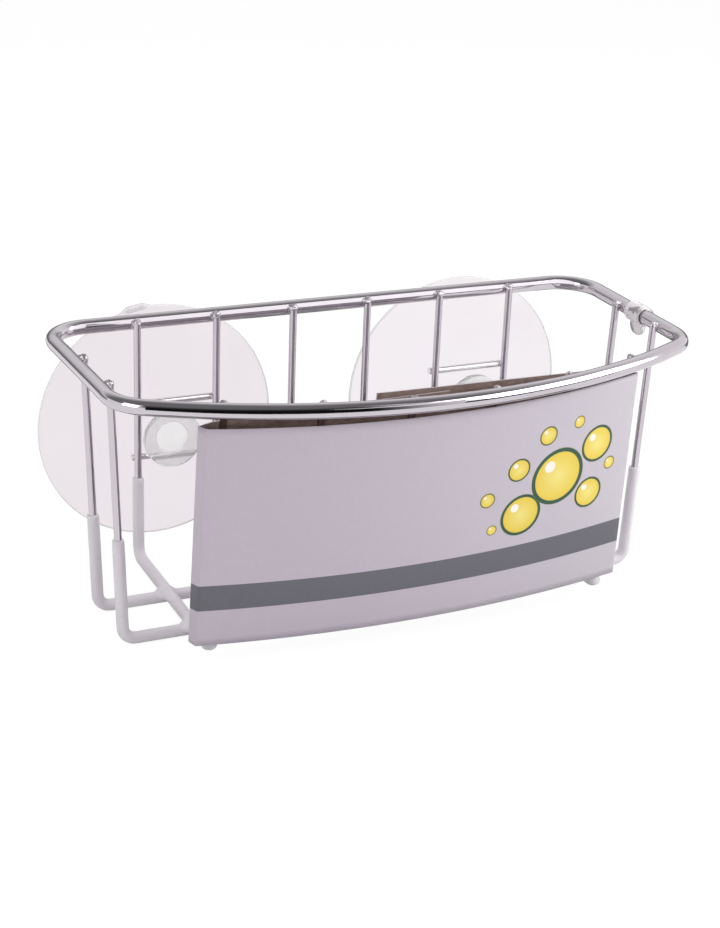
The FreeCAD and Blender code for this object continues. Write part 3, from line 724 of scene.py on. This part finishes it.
# %% Suction cups
CUP_STEPS = 180
TAB_WIDTH, TAB_REACH, TAB_DEPTH = 6.0, 1.0, 2.4
TAB_ROOT, TAB_BLEND = 2.0, 1.0
LEFT_TAB, RIGHT_TAB = math.radians(10), math.radians(200)
CORE_DEPTH, EDGE_WIDTH = -13.0, 0.25
LIP_SLOT, CORE_SLOT, EDGE_SLOT = 0, 1, 2
HINGES = {joint["child"]: joint["pos_m"] for joint in frame["joints"] if joint["type"] == "hinge"}


def tab_share(radius, turn):
    """How much a place belongs to the pull tab, from nought to one, at a turn away from its middle."""
    turn = (turn + math.pi) % (2 * math.pi) - math.pi
    along = min(1.0, (TAB_WIDTH / 2 + TAB_BLEND - abs(turn) * CUP_RADIUS) / TAB_BLEND)
    outward = (radius - CUP_RADIUS + TAB_ROOT) / TAB_ROOT
    return max(0.0, along) * max(0.0, outward)


def cup_rings(work, axis, tab_angle):
    """A ring of vertices for each point of the section. A point on the axis has only one vertex."""
    x, y, z = axis
    rings = []
    for depth, radius in CUP_SECTION:
        ring = []
        for step in range(CUP_STEPS if radius else 1):
            angle = 2 * math.pi * step / CUP_STEPS
            share = tab_share(radius, angle - tab_angle)
            out = radius + TAB_REACH * share
            on_front = depth < -LIP_WALL / 2
            back = depth - (TAB_DEPTH - LIP_WALL) * share if on_front else depth
            place = Vector((x - out * math.sin(angle), y + back, z + out * math.cos(angle)))
            ring.append(work.verts.new(place * MM))
        rings.append(ring)
    return rings


def cup_faces(work, rings, axis):
    """Joins the rings with faces, and gives each face the finish of its place on the cup."""
    x, _, z = (value * MM for value in axis)
    for (depth, _), first, last in zip(CUP_SECTION, rings, rings[1:]):
        for step in range(CUP_STEPS):
            around = ((first, step), (first, step + 1), (last, step + 1), (last, step))
            corners = [ring[place % len(ring)] for ring, place in around]
            face = work.faces.new(list(dict.fromkeys(corners)))
            reach = sum(math.hypot(corner.co.x - x, corner.co.z - z) for corner in corners) / len(corners)
            if depth < CORE_DEPTH:
                face.material_index = CORE_SLOT
            elif reach > (CUP_RADIUS - EDGE_WIDTH) * MM:
                face.material_index = EDGE_SLOT
            else:
                face.material_index = LIP_SLOT


def plain_mesh(name, work):
    """Turns a bmesh into plain mesh data, and lets the bmesh go."""
    data = bpy.data.meshes.new(name)
    work.to_mesh(data)
    work.free()
    return data


def suction_cup(side, tab_angle, lip):
    axis = [value / MM for value in HINGES[f"{side}_cup"]]
    work = bmesh.new()
    rings = cup_rings(work, axis, tab_angle)
    cup_faces(work, rings, axis)
    bmesh.ops.recalc_face_normals(work, faces=work.faces)
    data = plain_mesh(f"clear_cup_{side}", work)
    data.shade_smooth()
    piece = mesh_object(f"clear_cup_{side}", data, lip, THICK_CORE, CUT_EDGE)
    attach(piece, f"{side}_cup")
    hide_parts(f"suction_cup_{side}")
    print(piece.name, "faces:", len(data.polygons))


suction_cup("left", LEFT_TAB, SHADED_LEFT_LIP)
suction_cup("right", RIGHT_TAB, RIGHT_LIP)

# %% [markdown]
# The sleeve is one strip of thin card. It starts behind the legs, folds round the left pair of wires,
# bows across the front, folds back on the right and laps over its own start, where it is glued. A
# bent plane could stand for it, but its folds and its lap are what makes it card. So its outline is
# drawn at its foot and at its top, for each of its two skins, and each outline has the same number of
# points.

# %% Card outline
CARD_LOW, CARD_HIGH = 5.1, 66.1
LEFT_FOLD_X, LEFT_FLAP_END, RIGHT_FLAP_END = -59.0, 6.0, -14.0
SLACK, SNUG, RIGHT_TIGHT = 3.0, 0.3, 0.6
FOLD_OUT, FOLD_BACK, FOLD_IN = 0.1, 0.3, 1.0
FLAP_TURN, FLAP_BEND, RIGHT_FLAP_START = 0.5, 2.0, 2.0
CREASE = 0.5
FRONT_STEPS, LEFT_FLAP_STEPS, RIGHT_FLAP_STEPS = 72, 16, 24
ON_FRONT, ON_FOLD, ON_FLAP = 0.0, 0.5, 1.0


def between(first, last, share):
    return first + (last - first) * share


def arc_through(first, halfway, last, steps):
    """Points inside the arc that starts, passes and ends at three places."""
    (ax, ay), (bx, by), (cx, cy) = first, halfway, last
    turn = 2 * (ax * (by - cy) + bx * (cy - ay) + cx * (ay - by))
    sums = [x * x + y * y for x, y in (first, halfway, last)]
    ox = (sums[0] * (by - cy) + sums[1] * (cy - ay) + sums[2] * (ay - by)) / turn
    oy = (sums[0] * (cx - bx) + sums[1] * (ax - cx) + sums[2] * (bx - ax)) / turn
    radius = math.hypot(ax - ox, ay - oy)
    start, stop = (math.atan2(y - oy, x - ox) for x, y in (first, last))
    angles = [between(start, stop, step / steps) for step in range(1, steps)]
    return [(ox + radius * math.cos(a), oy + radius * math.sin(a)) for a in angles]


def card_line(height, bow_middle, reach, lap):
    """One skin's outline at one height, as (x, y, how much of a back flap it is)."""
    fold_y = leg_y(bow_y(CROSS_X[0]), height)
    share = (height - CARD_LOW) / (CARD_HIGH - CARD_LOW)
    left_x = LEFT_FOLD_X - reach
    right_x = CROSS_X[-1] + between(SLACK, SNUG, share) + reach - RIGHT_TIGHT
    front_y, back_y, lap_y = fold_y - reach, fold_y + reach, fold_y + reach + lap
    flap_turn = (CROSS_X[0] - FLAP_TURN, back_y)
    left_back, left_front = (left_x - FOLD_OUT, fold_y + FOLD_BACK), (left_x + FOLD_IN, front_y)
    right_front, right_back = (right_x, front_y), (right_x, lap_y)
    front = arc_through(left_front, (0.0, bow_middle - reach), right_front, FRONT_STEPS)
    left_flap = [(between(LEFT_FLAP_END, flap_turn[0], step / LEFT_FLAP_STEPS), back_y)
                 for step in range(LEFT_FLAP_STEPS)]
    right_flap = [(between(right_x - RIGHT_FLAP_START, RIGHT_FLAP_END, step / RIGHT_FLAP_STEPS), lap_y)
                  for step in range(RIGHT_FLAP_STEPS + 1)]
    parts = (
        (left_flap, ON_FLAP),
        (soft_corner(left_flap[-1], flap_turn, left_back, FLAP_BEND), ON_FLAP),
        (soft_corner(flap_turn, left_back, left_front, CREASE), ON_FOLD),
        (soft_corner(left_back, left_front, front[0], CREASE), ON_FRONT),
        (front, ON_FRONT),
        (soft_corner(front[-1], right_front, right_back, CREASE), ON_FRONT),
        (soft_corner(right_front, right_back, (0.0, lap_y), CREASE), ON_FLAP),
        (right_flap, ON_FLAP))
    return [(x, y, flap) for points, flap in parts for x, y in points]


print("card from", CARD_LOW, "to", CARD_HIGH, "mm up")

# %% [markdown]
# Between the two outlines the card is a grid: rows up the card, columns along the strip. The back
# flaps start a little higher than the front, and the right one rises towards its free end. The whole
# sleeve hangs askew, turned about the foot of its left fold.

# %% Card grid
CARD_INSIDE, CARD_WALL, LAP_GAP = 2.1, 0.5, 0.06
LOW_BOW, SKEW = 6.2, 1.3
FLAP_LOW, FLAP_RISE, FLAP_LEVEL_X = 5.57, 1.65, 62.0
CARD_ROWS = 26


def askew(place):
    """A place on the level sleeve, moved to where the askew sleeve has it."""
    angle = math.asin(SKEW / (-2 * LEFT_FOLD_X))
    across, up = place.x - LEFT_FOLD_X, place.z - CARD_LOW
    return Vector((LEFT_FOLD_X + across * math.cos(angle) - up * math.sin(angle), place.y,
                   CARD_LOW + across * math.sin(angle) + up * math.cos(angle)))


def card_skin(reach, lap):
    """Places of one skin, by row and column, on the level sleeve."""
    low_middle = leg_y(bow_y(CROSS_X[0]), CARD_LOW) - LOW_BOW
    high_middle = leg_y(FRONT_Y + WELD_OFFSET, CARD_HIGH)
    low_line = card_line(CARD_LOW, low_middle, reach, lap)
    high_line = card_line(CARD_HIGH, high_middle, reach, lap)
    rows = []
    for row in range(CARD_ROWS + 1):
        line = []
        for column, ((low_x, low_y, flap), (high_x, high_y, _)) in enumerate(zip(low_line, high_line)):
            on_lap = flap if column > len(low_line) / 2 else 0.0
            rise = FLAP_RISE * (FLAP_LEVEL_X - low_x) / (FLAP_LEVEL_X - RIGHT_FLAP_END)
            bottom = between(CARD_LOW, FLAP_LOW, flap)
            height = between(bottom, CARD_HIGH + rise * on_lap, row / CARD_ROWS)
            share = (height - CARD_LOW) / (CARD_HIGH - CARD_LOW)
            line.append(Vector((between(low_x, high_x, share), between(low_y, high_y, share), height)))
        rows.append(line)
    return rows


OUTER_SKIN = card_skin(CARD_INSIDE + CARD_WALL, CARD_WALL)
INNER_SKIN = card_skin(CARD_INSIDE, CARD_WALL + LAP_GAP)
print("card grid:", len(OUTER_SKIN), "rows of", len(OUTER_SKIN[0]))

# %% [markdown]
# The two skins become one closed mesh, with the cut edges of the card between them. Its UV map counts
# millimetres from the middle of the front, so that the print can be placed with a ruler. A map
# unwrapped by Blender would not stretch either, but its places would have to be found by trial.

# %% Card mesh
UV_WIDTH, UV_HEIGHT, UV_MIDDLE = 400.0, 100.0, 0.5
PRINTED_SLOT, BOARD_SLOT = 0, 1


def strip_lengths(line):
    """Distance of each column along the strip, from the middle of the front."""
    lengths = [0.0]
    for first, last in zip(line, line[1:]):
        lengths.append(lengths[-1] + (last - first).length)
    front = min(range(len(line)), key=lambda column: (line[column].y, abs(line[column].x)))
    return [length - lengths[front] for length in lengths]


def card_mesh(name):
    lengths = strip_lengths(OUTER_SKIN[CARD_ROWS // 2])
    work = bmesh.new()
    uv = work.loops.layers.uv.new("CardUV")
    grids, where = [], {}
    for skin in (OUTER_SKIN, INNER_SKIN):
        grids.append([[work.verts.new(askew(place) * MM) for place in row] for row in skin])
        for row, places in zip(grids[-1], skin):
            for vert, place, length in zip(row, places, lengths):
                where[vert] = (UV_MIDDLE + length / UV_WIDTH, (place.z - CARD_LOW) / UV_HEIGHT)
    outer, inner = grids

    def quad(slot, *corners):
        face = work.faces.new([grid[row][column] for grid, row, column in corners])
        face.material_index = slot
        face.smooth = True
        for loop in face.loops:
            loop[uv].uv = where[loop.vert]

    last_column = len(lengths) - 1
    for row in range(CARD_ROWS):
        for column in range(last_column):
            for grid, slot in ((outer, PRINTED_SLOT), (inner, BOARD_SLOT)):
                quad(slot, (grid, row, column), (grid, row, column + 1),
                     (grid, row + 1, column + 1), (grid, row + 1, column))
    for column in range(last_column):
        for row in (0, CARD_ROWS):
            quad(PRINTED_SLOT, (outer, row, column), (inner, row, column),
                 (inner, row, column + 1), (outer, row, column + 1))
    for row in range(CARD_ROWS):
        for column in (0, last_column):
            quad(PRINTED_SLOT, (outer, row, column), (inner, row, column),
                 (inner, row + 1, column), (outer, row + 1, column))
    bmesh.ops.recalc_face_normals(work, faces=work.faces)
    return plain_mesh(name, work)


CARD_MESH = card_mesh("card_band")
print("card faces:", len(CARD_MESH.polygons))

# %% [markdown]
# The print on the card is plain: a pale coated face, one grey stripe near the foot, and a drift of
# soap bubbles in yellow and dark green. The face is painted darker on the left and paler to the
# right, which is painted shade and painted light. It could be a picture on the UV map, but nodes stay
# sharp at any distance. Each bubble is a disc, a ring and a spot of shine, worked out from the
# distance to a middle on the map.

# %% Printed face
STRIPE_FOOT, STRIPE_TOP, STRIPE_EDGE = 10.3, 17.6, 0.06
FRONT_REACH, FLAP_EDGE = 65.0, 1.5
SHADE_SWEEP_START, SHADE_SWEEP_END = -20.0, 62.0
INK_EDGE, RING_START, NO_HOLE = 0.08, 0.86, -1.0
SHINE_ACROSS, SHINE_UP, SHINE_SIZE = -0.36, 0.4, 0.2
# Painted shade and light: the face's tint goes from darker on the left to paler on the right.
SHADED_LEFT_PAPER = (0.51, 0.45, 0.525), (0.55, 0.495, 0.57)
LIT_RIGHT_PAPER = (0.535, 0.495, 0.545), (0.57, 0.535, 0.58)
FLAP_PAPER = (0.522, 0.472, 0.535), (0.56, 0.515, 0.575)
STRIPE_GREY = (0.13, 0.127, 0.148), (0.152, 0.15, 0.175)
YELLOW, DEEP_YELLOW = (0.86, 0.74, 0.22), (0.78, 0.56, 0.03)
DARK_GREEN, SHINE = (0.02, 0.085, 0.05), (0.90, 0.87, 0.80)
BUBBLES = (
    # Across and up on the front in millimetres, then the radius
    (25.0, 27.0, 6.2), (35.5, 36.5, 8.4), (47.0, 29.0, 4.6), (48.0, 43.5, 5.4), (22.5, 41.0, 3.4),
    (14.0, 33.5, 2.2), (30.5, 49.5, 2.8), (40.5, 51.5, 1.8), (53.5, 36.5, 1.9), (16.5, 24.0, 1.5),
)


def inside_range(tree, source, low, high, soft):
    """One between two limits, with a soft edge, and nought outside."""
    rise = ramp(tree, source, 0, 1, low - soft, low + soft)
    fall = ramp(tree, source, 1, 0, high - soft, high + soft)
    return combine(tree, "MULTIPLY", rise, fall)


def card_ruler(tree):
    """Millimetres across and up the front of the card, as a vector."""
    uv = add_node(tree, "ShaderNodeUVMap", uv_map="CardUV").outputs[0]
    to_middle, to_millimetres = (-UV_MIDDLE, 0, 0), (UV_WIDTH, UV_HEIGHT, 0)
    moved = add_node(tree, "ShaderNodeVectorMath", {0: uv, 1: to_middle}, operation="ADD").outputs[0]
    scaled = add_node(tree, "ShaderNodeVectorMath", {0: moved, 1: to_millimetres}, operation="MULTIPLY")
    return scaled.outputs[0]


def disc(tree, ruler, across, up, radius):
    """One inside a disc on the card, and nought outside. The distance from its middle comes with it."""
    away = add_node(tree, "ShaderNodeVectorMath", {0: ruler, 1: (across, up, 0)}, operation="DISTANCE")
    away = away.outputs["Value"]
    return inside_range(tree, away, NO_HOLE, radius, INK_EDGE), away


def bubble(tree, ruler, colour, across, up, radius):
    """Prints one bubble over the colour that is there."""
    inside, away = disc(tree, ruler, across, up, radius)
    glow = two_colours(tree, ramp(tree, away, 0, 1, 0.0, radius), YELLOW, DEEP_YELLOW)
    colour = two_colours(tree, inside, colour, glow)
    ring = inside_range(tree, away, radius * RING_START, radius, INK_EDGE)
    colour = two_colours(tree, ring, colour, DARK_GREEN)
    across, up = across + radius * SHINE_ACROSS, up + radius * SHINE_UP
    spot, _ = disc(tree, ruler, across, up, radius * SHINE_SIZE)
    return two_colours(tree, spot, colour, SHINE)


def printed_face():
    material, tree, shader = start_material("printed card", IOR=1.45, Roughness=0.42)
    ruler = card_ruler(tree)
    fibre = noise_on(tree, object_place(tree), scale=900.0, detail=4.0, roughness=0.6)
    across, up, _ = add_node(tree, "ShaderNodeSeparateXYZ", {0: ruler}).outputs
    left = two_colours(tree, fibre, *SHADED_LEFT_PAPER)
    right = two_colours(tree, fibre, *LIT_RIGHT_PAPER)
    flaps = two_colours(tree, fibre, *FLAP_PAPER)
    stripe = two_colours(tree, fibre, *STRIPE_GREY)
    # Painted shade on the left of the front, and painted light on the right.
    colour = two_colours(tree, ramp(tree, across, 0, 1, SHADE_SWEEP_START, SHADE_SWEEP_END), left, right)
    on_front = inside_range(tree, across, -FRONT_REACH, FRONT_REACH, FLAP_EDGE)
    colour = two_colours(tree, on_front, flaps, colour)
    on_stripe = inside_range(tree, up, STRIPE_FOOT, STRIPE_TOP, STRIPE_EDGE)
    colour = two_colours(tree, on_stripe, colour, stripe)
    for place in BUBBLES:
        colour = bubble(tree, ruler, colour, *place)
    feed_shader(tree, shader, Base_Color=colour)
    bump(tree, shader, fibre, distance=0.03 * MM, strength=0.35)
    return material


PRINTED = printed_face()
print("bubbles printed:", len(BUBBLES))

# %% [markdown]
# Inside, the card is bare brown board: long fibres that lie along the strip, and a few dark specks. A
# noise squeezed along one axis draws the fibres, and a fine one, cut off high, leaves only its
# specks.

# %% Bare board
FIBRE_STRETCH = (0.25, 1.0, 1.0)
SPECKS_FROM, SPECKS_FULL = 0.68, 0.72


def bare_board(dark, pale, speck):
    material, tree, shader = start_material("bare board", IOR=1.4, Roughness=0.85)
    place = object_place(tree)
    long_way = add_node(tree, "ShaderNodeMapping", {"Vector": place, "Scale": FIBRE_STRETCH}).outputs[0]
    fibre = noise_on(tree, long_way, scale=1500.0, detail=5.0, roughness=0.65)
    specks = ramp(tree, noise_on(tree, place, scale=2600.0, detail=1.0), 0, 1, SPECKS_FROM, SPECKS_FULL)
    colour = two_colours(tree, spread(tree, fibre, 0, 1), dark, pale)
    feed_shader(tree, shader, Base_Color=two_colours(tree, specks, colour, speck))
    bump(tree, shader, fibre, distance=0.06 * MM, strength=0.6)
    return material


BOARD = bare_board(dark=(0.158, 0.104, 0.086), pale=(0.286, 0.205, 0.178), speck=(0.09, 0.055, 0.04))
card = mesh_object("card_band", CARD_MESH, PRINTED, BOARD)
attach(card, "card")
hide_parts("card_sleeve")
print("card finishes:", [finish.name for finish in (PRINTED, BOARD)])

# %% [markdown]
# The tag is a strip of clear plastic, wrapped over the rim and sealed to a round-ended tongue. The
# solid has the right sizes but crisp edges. A bevel would give each edge the same rounding, so
# instead a copy of the solid is merged, remeshed finely and smoothed until it looks heat-sealed. The
# plastic is milky, with darker smears that a noise scatters over it.

# %% Rim tag
OUTSIDE_FROM, OUTSIDE_FULL = 80.2, 81.0
TONGUE_FULL, TONGUE_TOP = 68.0, 68.6
SMEARS_FROM, SMEARS_FULL, SMEAR_SHARE = 0.57, 0.66, 0.8
TAG_VOXEL, TAG_PASSES = 0.1, 14
SAME_PLACE = 0.001


def milky_plastic(milk, smear, clear):
    """Milky on the tongue and the inner side, and clear where the strip goes round the rim's outside."""
    material, tree, shader = start_material("milky plastic", IOR=1.12)
    place = object_place(tree)
    across, _, up = add_node(tree, "ShaderNodeSeparateXYZ", {0: place}).outputs
    inner_side = ramp(tree, across, 1, 0, OUTSIDE_FROM * MM, OUTSIDE_FULL * MM)
    tongue = ramp(tree, up, 1, 0, TONGUE_FULL * MM, TONGUE_TOP * MM)
    milky = combine(tree, "MAXIMUM", inner_side, tongue)
    smear_noise = noise_on(tree, place, scale=300.0, detail=2.0)
    smear_noise = ramp(tree, smear_noise, 0, SMEAR_SHARE, SMEARS_FROM, SMEARS_FULL)
    cloudy = two_colours(tree, smear_noise, milk, smear)
    feed_shader(tree, shader, Base_Color=two_colours(tree, milky, clear, cloudy),
                Transmission_Weight=ramp(tree, milky, low=1.0, high=0.22),
                Roughness=ramp(tree, milky, low=0.04, high=0.3))
    return material


def soft_copy(name, node, voxel, passes):
    """A copy of a solid with its edges worn round."""
    work = bmesh.new()
    work.from_mesh(frame["nodes"][node].data)
    bmesh.ops.remove_doubles(work, verts=work.verts, dist=SAME_PLACE * MM)
    return soft_skin(mesh_object(name, plain_mesh(name, work)), voxel, passes)


PLASTIC = milky_plastic(milk=(0.93, 0.90, 0.915), smear=(0.22, 0.19, 0.21), clear=(0.97, 0.96, 0.965))
tag = soft_copy("clear_rim_tag", "rim_tag", TAG_VOXEL, TAG_PASSES)
give_finish(tag, PLASTIC)
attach(tag, "tag")
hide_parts("rim_tag")
print("tag faces:", len(tag.data.polygons))

# %% [markdown]
# The studio is a white table in a white room. More light would make both white, but it would bleach
# the caddy too. So rays from the camera, and rays that metal or clear plastic sends on, see the
# background at full white, while its light on the caddy stays low. The table keeps part of its own
# shading, so that the caddy's shadow stays. From here on, sizes are of the room and in metres.

# %% Room and table
scene.view_settings.view_transform = "Standard"
WHITE, FILL_TINT = (1, 1, 1, 1), (1, 0.985, 1, 1)
AMBIENT = 0.36
TABLE_REACH, TABLE_TINT, TABLE_ROUGH = 3.0, (0.86, 0.855, 0.86, 1), 0.9
GLOW_SHARE, GLOW_STRENGTH = 0.88, 1.06


def seen_directly(tree):
    """One for rays from the camera, mirrors and clear plastic, and nought for the others."""
    path = add_node(tree, "ShaderNodeLightPath").outputs
    either = combine(tree, "MAXIMUM", path["Is Camera Ray"], path["Is Glossy Ray"])
    return combine(tree, "MAXIMUM", either, path["Is Transmission Ray"])


def either_shader(tree, factor, first, second):
    return add_node(tree, "ShaderNodeMixShader", {0: factor, 1: first, 2: second}).outputs[0]


def white_room():
    world = bpy.data.worlds.new("white room")
    scene.world = world
    world.use_nodes = True
    tree = world.node_tree
    tree.nodes.clear()
    fill = add_node(tree, "ShaderNodeBackground", {"Color": FILL_TINT, "Strength": AMBIENT}).outputs[0]
    white = add_node(tree, "ShaderNodeBackground", {"Color": WHITE, "Strength": 1.0}).outputs[0]
    both = either_shader(tree, seen_directly(tree), fill, white)
    add_node(tree, "ShaderNodeOutputWorld", {"Surface": both})


def plane(name, places, material):
    mesh = bpy.data.meshes.new(name)
    mesh.from_pydata(places, [], [tuple(range(len(places)))])
    return mesh_object(name, mesh, material)


def lying(left, right, near, far, height):
    """Corners of a level plane."""
    return [(left, near, height), (right, near, height), (right, far, height), (left, far, height)]


def set_surface(tree, source):
    tree.links.new(source, tree.nodes["Material Output"].inputs["Surface"])


def white_table():
    material, tree, shader = start_material("white table", Roughness=TABLE_ROUGH, Base_Color=TABLE_TINT)
    glow = add_node(tree, "ShaderNodeEmission", {"Color": WHITE, "Strength": GLOW_STRENGTH}).outputs[0]
    share = combine(tree, "MULTIPLY", seen_directly(tree), GLOW_SHARE)
    set_surface(tree, either_shader(tree, share, shader.outputs[0], glow))
    corners = lying(-TABLE_REACH, TABLE_REACH, -TABLE_REACH, TABLE_REACH, height=0)
    table = plane("table", corners, material)
    table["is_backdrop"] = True


white_room()
white_table()
print("room and table:", scene.world.name, "with a table", 2 * TABLE_REACH, "m wide")

# %% [markdown]
# Three soft boxes light the caddy: a strong one on the right, a weaker one on the left and a wide one
# above. Small lamps would give hard edges and pin-point gleams. The one above is hidden from mirror
# rays, so that the rim's top doesn't turn white.

# %% Lamps


def softbox(name, place, target, size, watts, mirrored=True):
    light = bpy.data.lights.new(name, "AREA")
    light.shape = "RECTANGLE"
    light.size, light.size_y = size
    light.energy = watts
    lamp = bpy.data.objects.new(name, light)
    scene.collection.objects.link(lamp)
    lamp.location = place
    lamp.rotation_euler = (Vector(target) - Vector(place)).to_track_quat("-Z", "Y").to_euler()
    lamp.visible_glossy = mirrored
    print(name, watts, "W")


softbox("right softbox", place=(0.62, -0.45, 0.42), target=(0, 0, 0.05), size=(0.75, 0.6), watts=5.6)
softbox("left softbox", place=(-0.84, -0.28, 0.45), target=(0, 0, 0.05), size=(0.5, 0.5), watts=2.4)
softbox("top softbox", place=(0.0, 0.15, 0.95), target=(0, 0, 0), size=(0.9, 0.9), watts=3.6,
        mirrored=False)

# %% [markdown]
# In an all-white room chrome would be white too. It needs dark and grey things to show its shape, so
# flags that only mirror rays can see stand round the caddy, as a photographer would put up black
# card. In front are a dark room, a part of it that grows pale to the right, the edge of a table and a
# strip of light. Behind are a far wall and a far table, and over them a grey ceiling. The table under
# the caddy is in shade. One pale reflector is seen from its front only, by the back of the rim. A flag
# is even, or goes from dark to pale along a direction.

# %% Mirror flags
RIGHTWARDS, UPWARDS, TO_FAR_RIGHT = (1, 0, 0), (0, 0, 1), (0.6, 0.8, 0)


def standing(left, right, depth, top, foot=0.0):
    """Corners of an upright plane. It faces the back where left and right change places."""
    return [(left, depth, foot), (right, depth, foot), (right, depth, top), (left, depth, top)]


def flag_paper(name, dark, pale, low, high, along, one_sided):
    """Glows from dark, at low along a direction, to pale, at high."""
    material, tree, _ = start_material(name)
    inputs = {0: object_place(tree), 1: along}
    way = add_node(tree, "ShaderNodeVectorMath", inputs, operation="DOT_PRODUCT").outputs["Value"]
    shade = two_colours(tree, ramp(tree, way, 0, 1, low, high), (dark,) * 3, (pale,) * 3)
    glow = add_node(tree, "ShaderNodeEmission", {"Color": shade}).outputs[0]
    if one_sided:
        behind = add_node(tree, "ShaderNodeNewGeometry").outputs["Backfacing"]
        clear = add_node(tree, "ShaderNodeBsdfTransparent").outputs[0]
        glow = either_shader(tree, behind, glow, clear)
    set_surface(tree, glow)
    return material


def mirror_flag(name, places, dark, pale=None, low=0.0, high=1.0, along=UPWARDS, one_sided=False):
    """A plane that only mirror rays see. With no pale value it is dark all over."""
    paper = flag_paper(name, dark, dark if pale is None else pale, low, high, along, one_sided)
    flag = plane(name, places, paper)
    flag.visible_camera = False
    flag.visible_diffuse = False
    flag.visible_shadow = False
    flag.visible_transmission = False
    flag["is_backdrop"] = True
    print("flag:", name)


mirror_flag("dark room", standing(left=-0.5, right=0.05, depth=-0.46, top=0.8),
            dark=0.006, pale=0.3, low=0.3, high=1.0)
mirror_flag("dim room", standing(left=0.05, right=0.2, depth=-0.46, top=0.8),
            dark=0.02, pale=0.95, low=0.05, high=0.2, along=RIGHTWARDS)
mirror_flag("dark table edge", standing(left=0.2, right=0.95, depth=-0.46, top=0.1), dark=0.006)
mirror_flag("strip light", standing(left=-0.03, right=0.28, depth=-0.45, top=0.36, foot=0.28),
            dark=0.05, pale=1.5, low=-0.08, high=0.12, along=RIGHTWARDS)
mirror_flag("pale reflector", standing(left=0.115, right=-0.045, depth=-0.02, top=0.2, foot=0.0725),
            dark=1.45, pale=1.6, low=-0.04, high=0.08, along=RIGHTWARDS, one_sided=True)
mirror_flag("far wall", standing(left=-1.4, right=1.4, depth=0.9, top=0.5),
            dark=0.16, pale=0.85, low=0.12, high=0.42)
mirror_flag("far table", lying(left=-0.1, right=1.4, near=0.07, far=0.9, height=0.0005), dark=0.2)
mirror_flag("shaded table", lying(left=-0.09, right=0.09, near=-0.05, far=0.07, height=0.0004), dark=0.34)
mirror_flag("grey ceiling", lying(left=-3.0, right=3.0, near=-3.0, far=3.0, height=1.3),
            dark=0.2, pale=0.95, low=0.1, high=1.5, along=TO_FAR_RIGHT)

# %% [markdown]
# Last, the box of the dressed caddy is found beside the box of its solids, and the dressed caddy's
# size is printed.

# %% Sizes and finish
boxes = {"cad": cad_box, "visual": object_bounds()}

lowest, highest = boxes["visual"]
print("dressed caddy, in mm:", [round((high - low) / MM, 1) for low, high in zip(lowest, highest)])
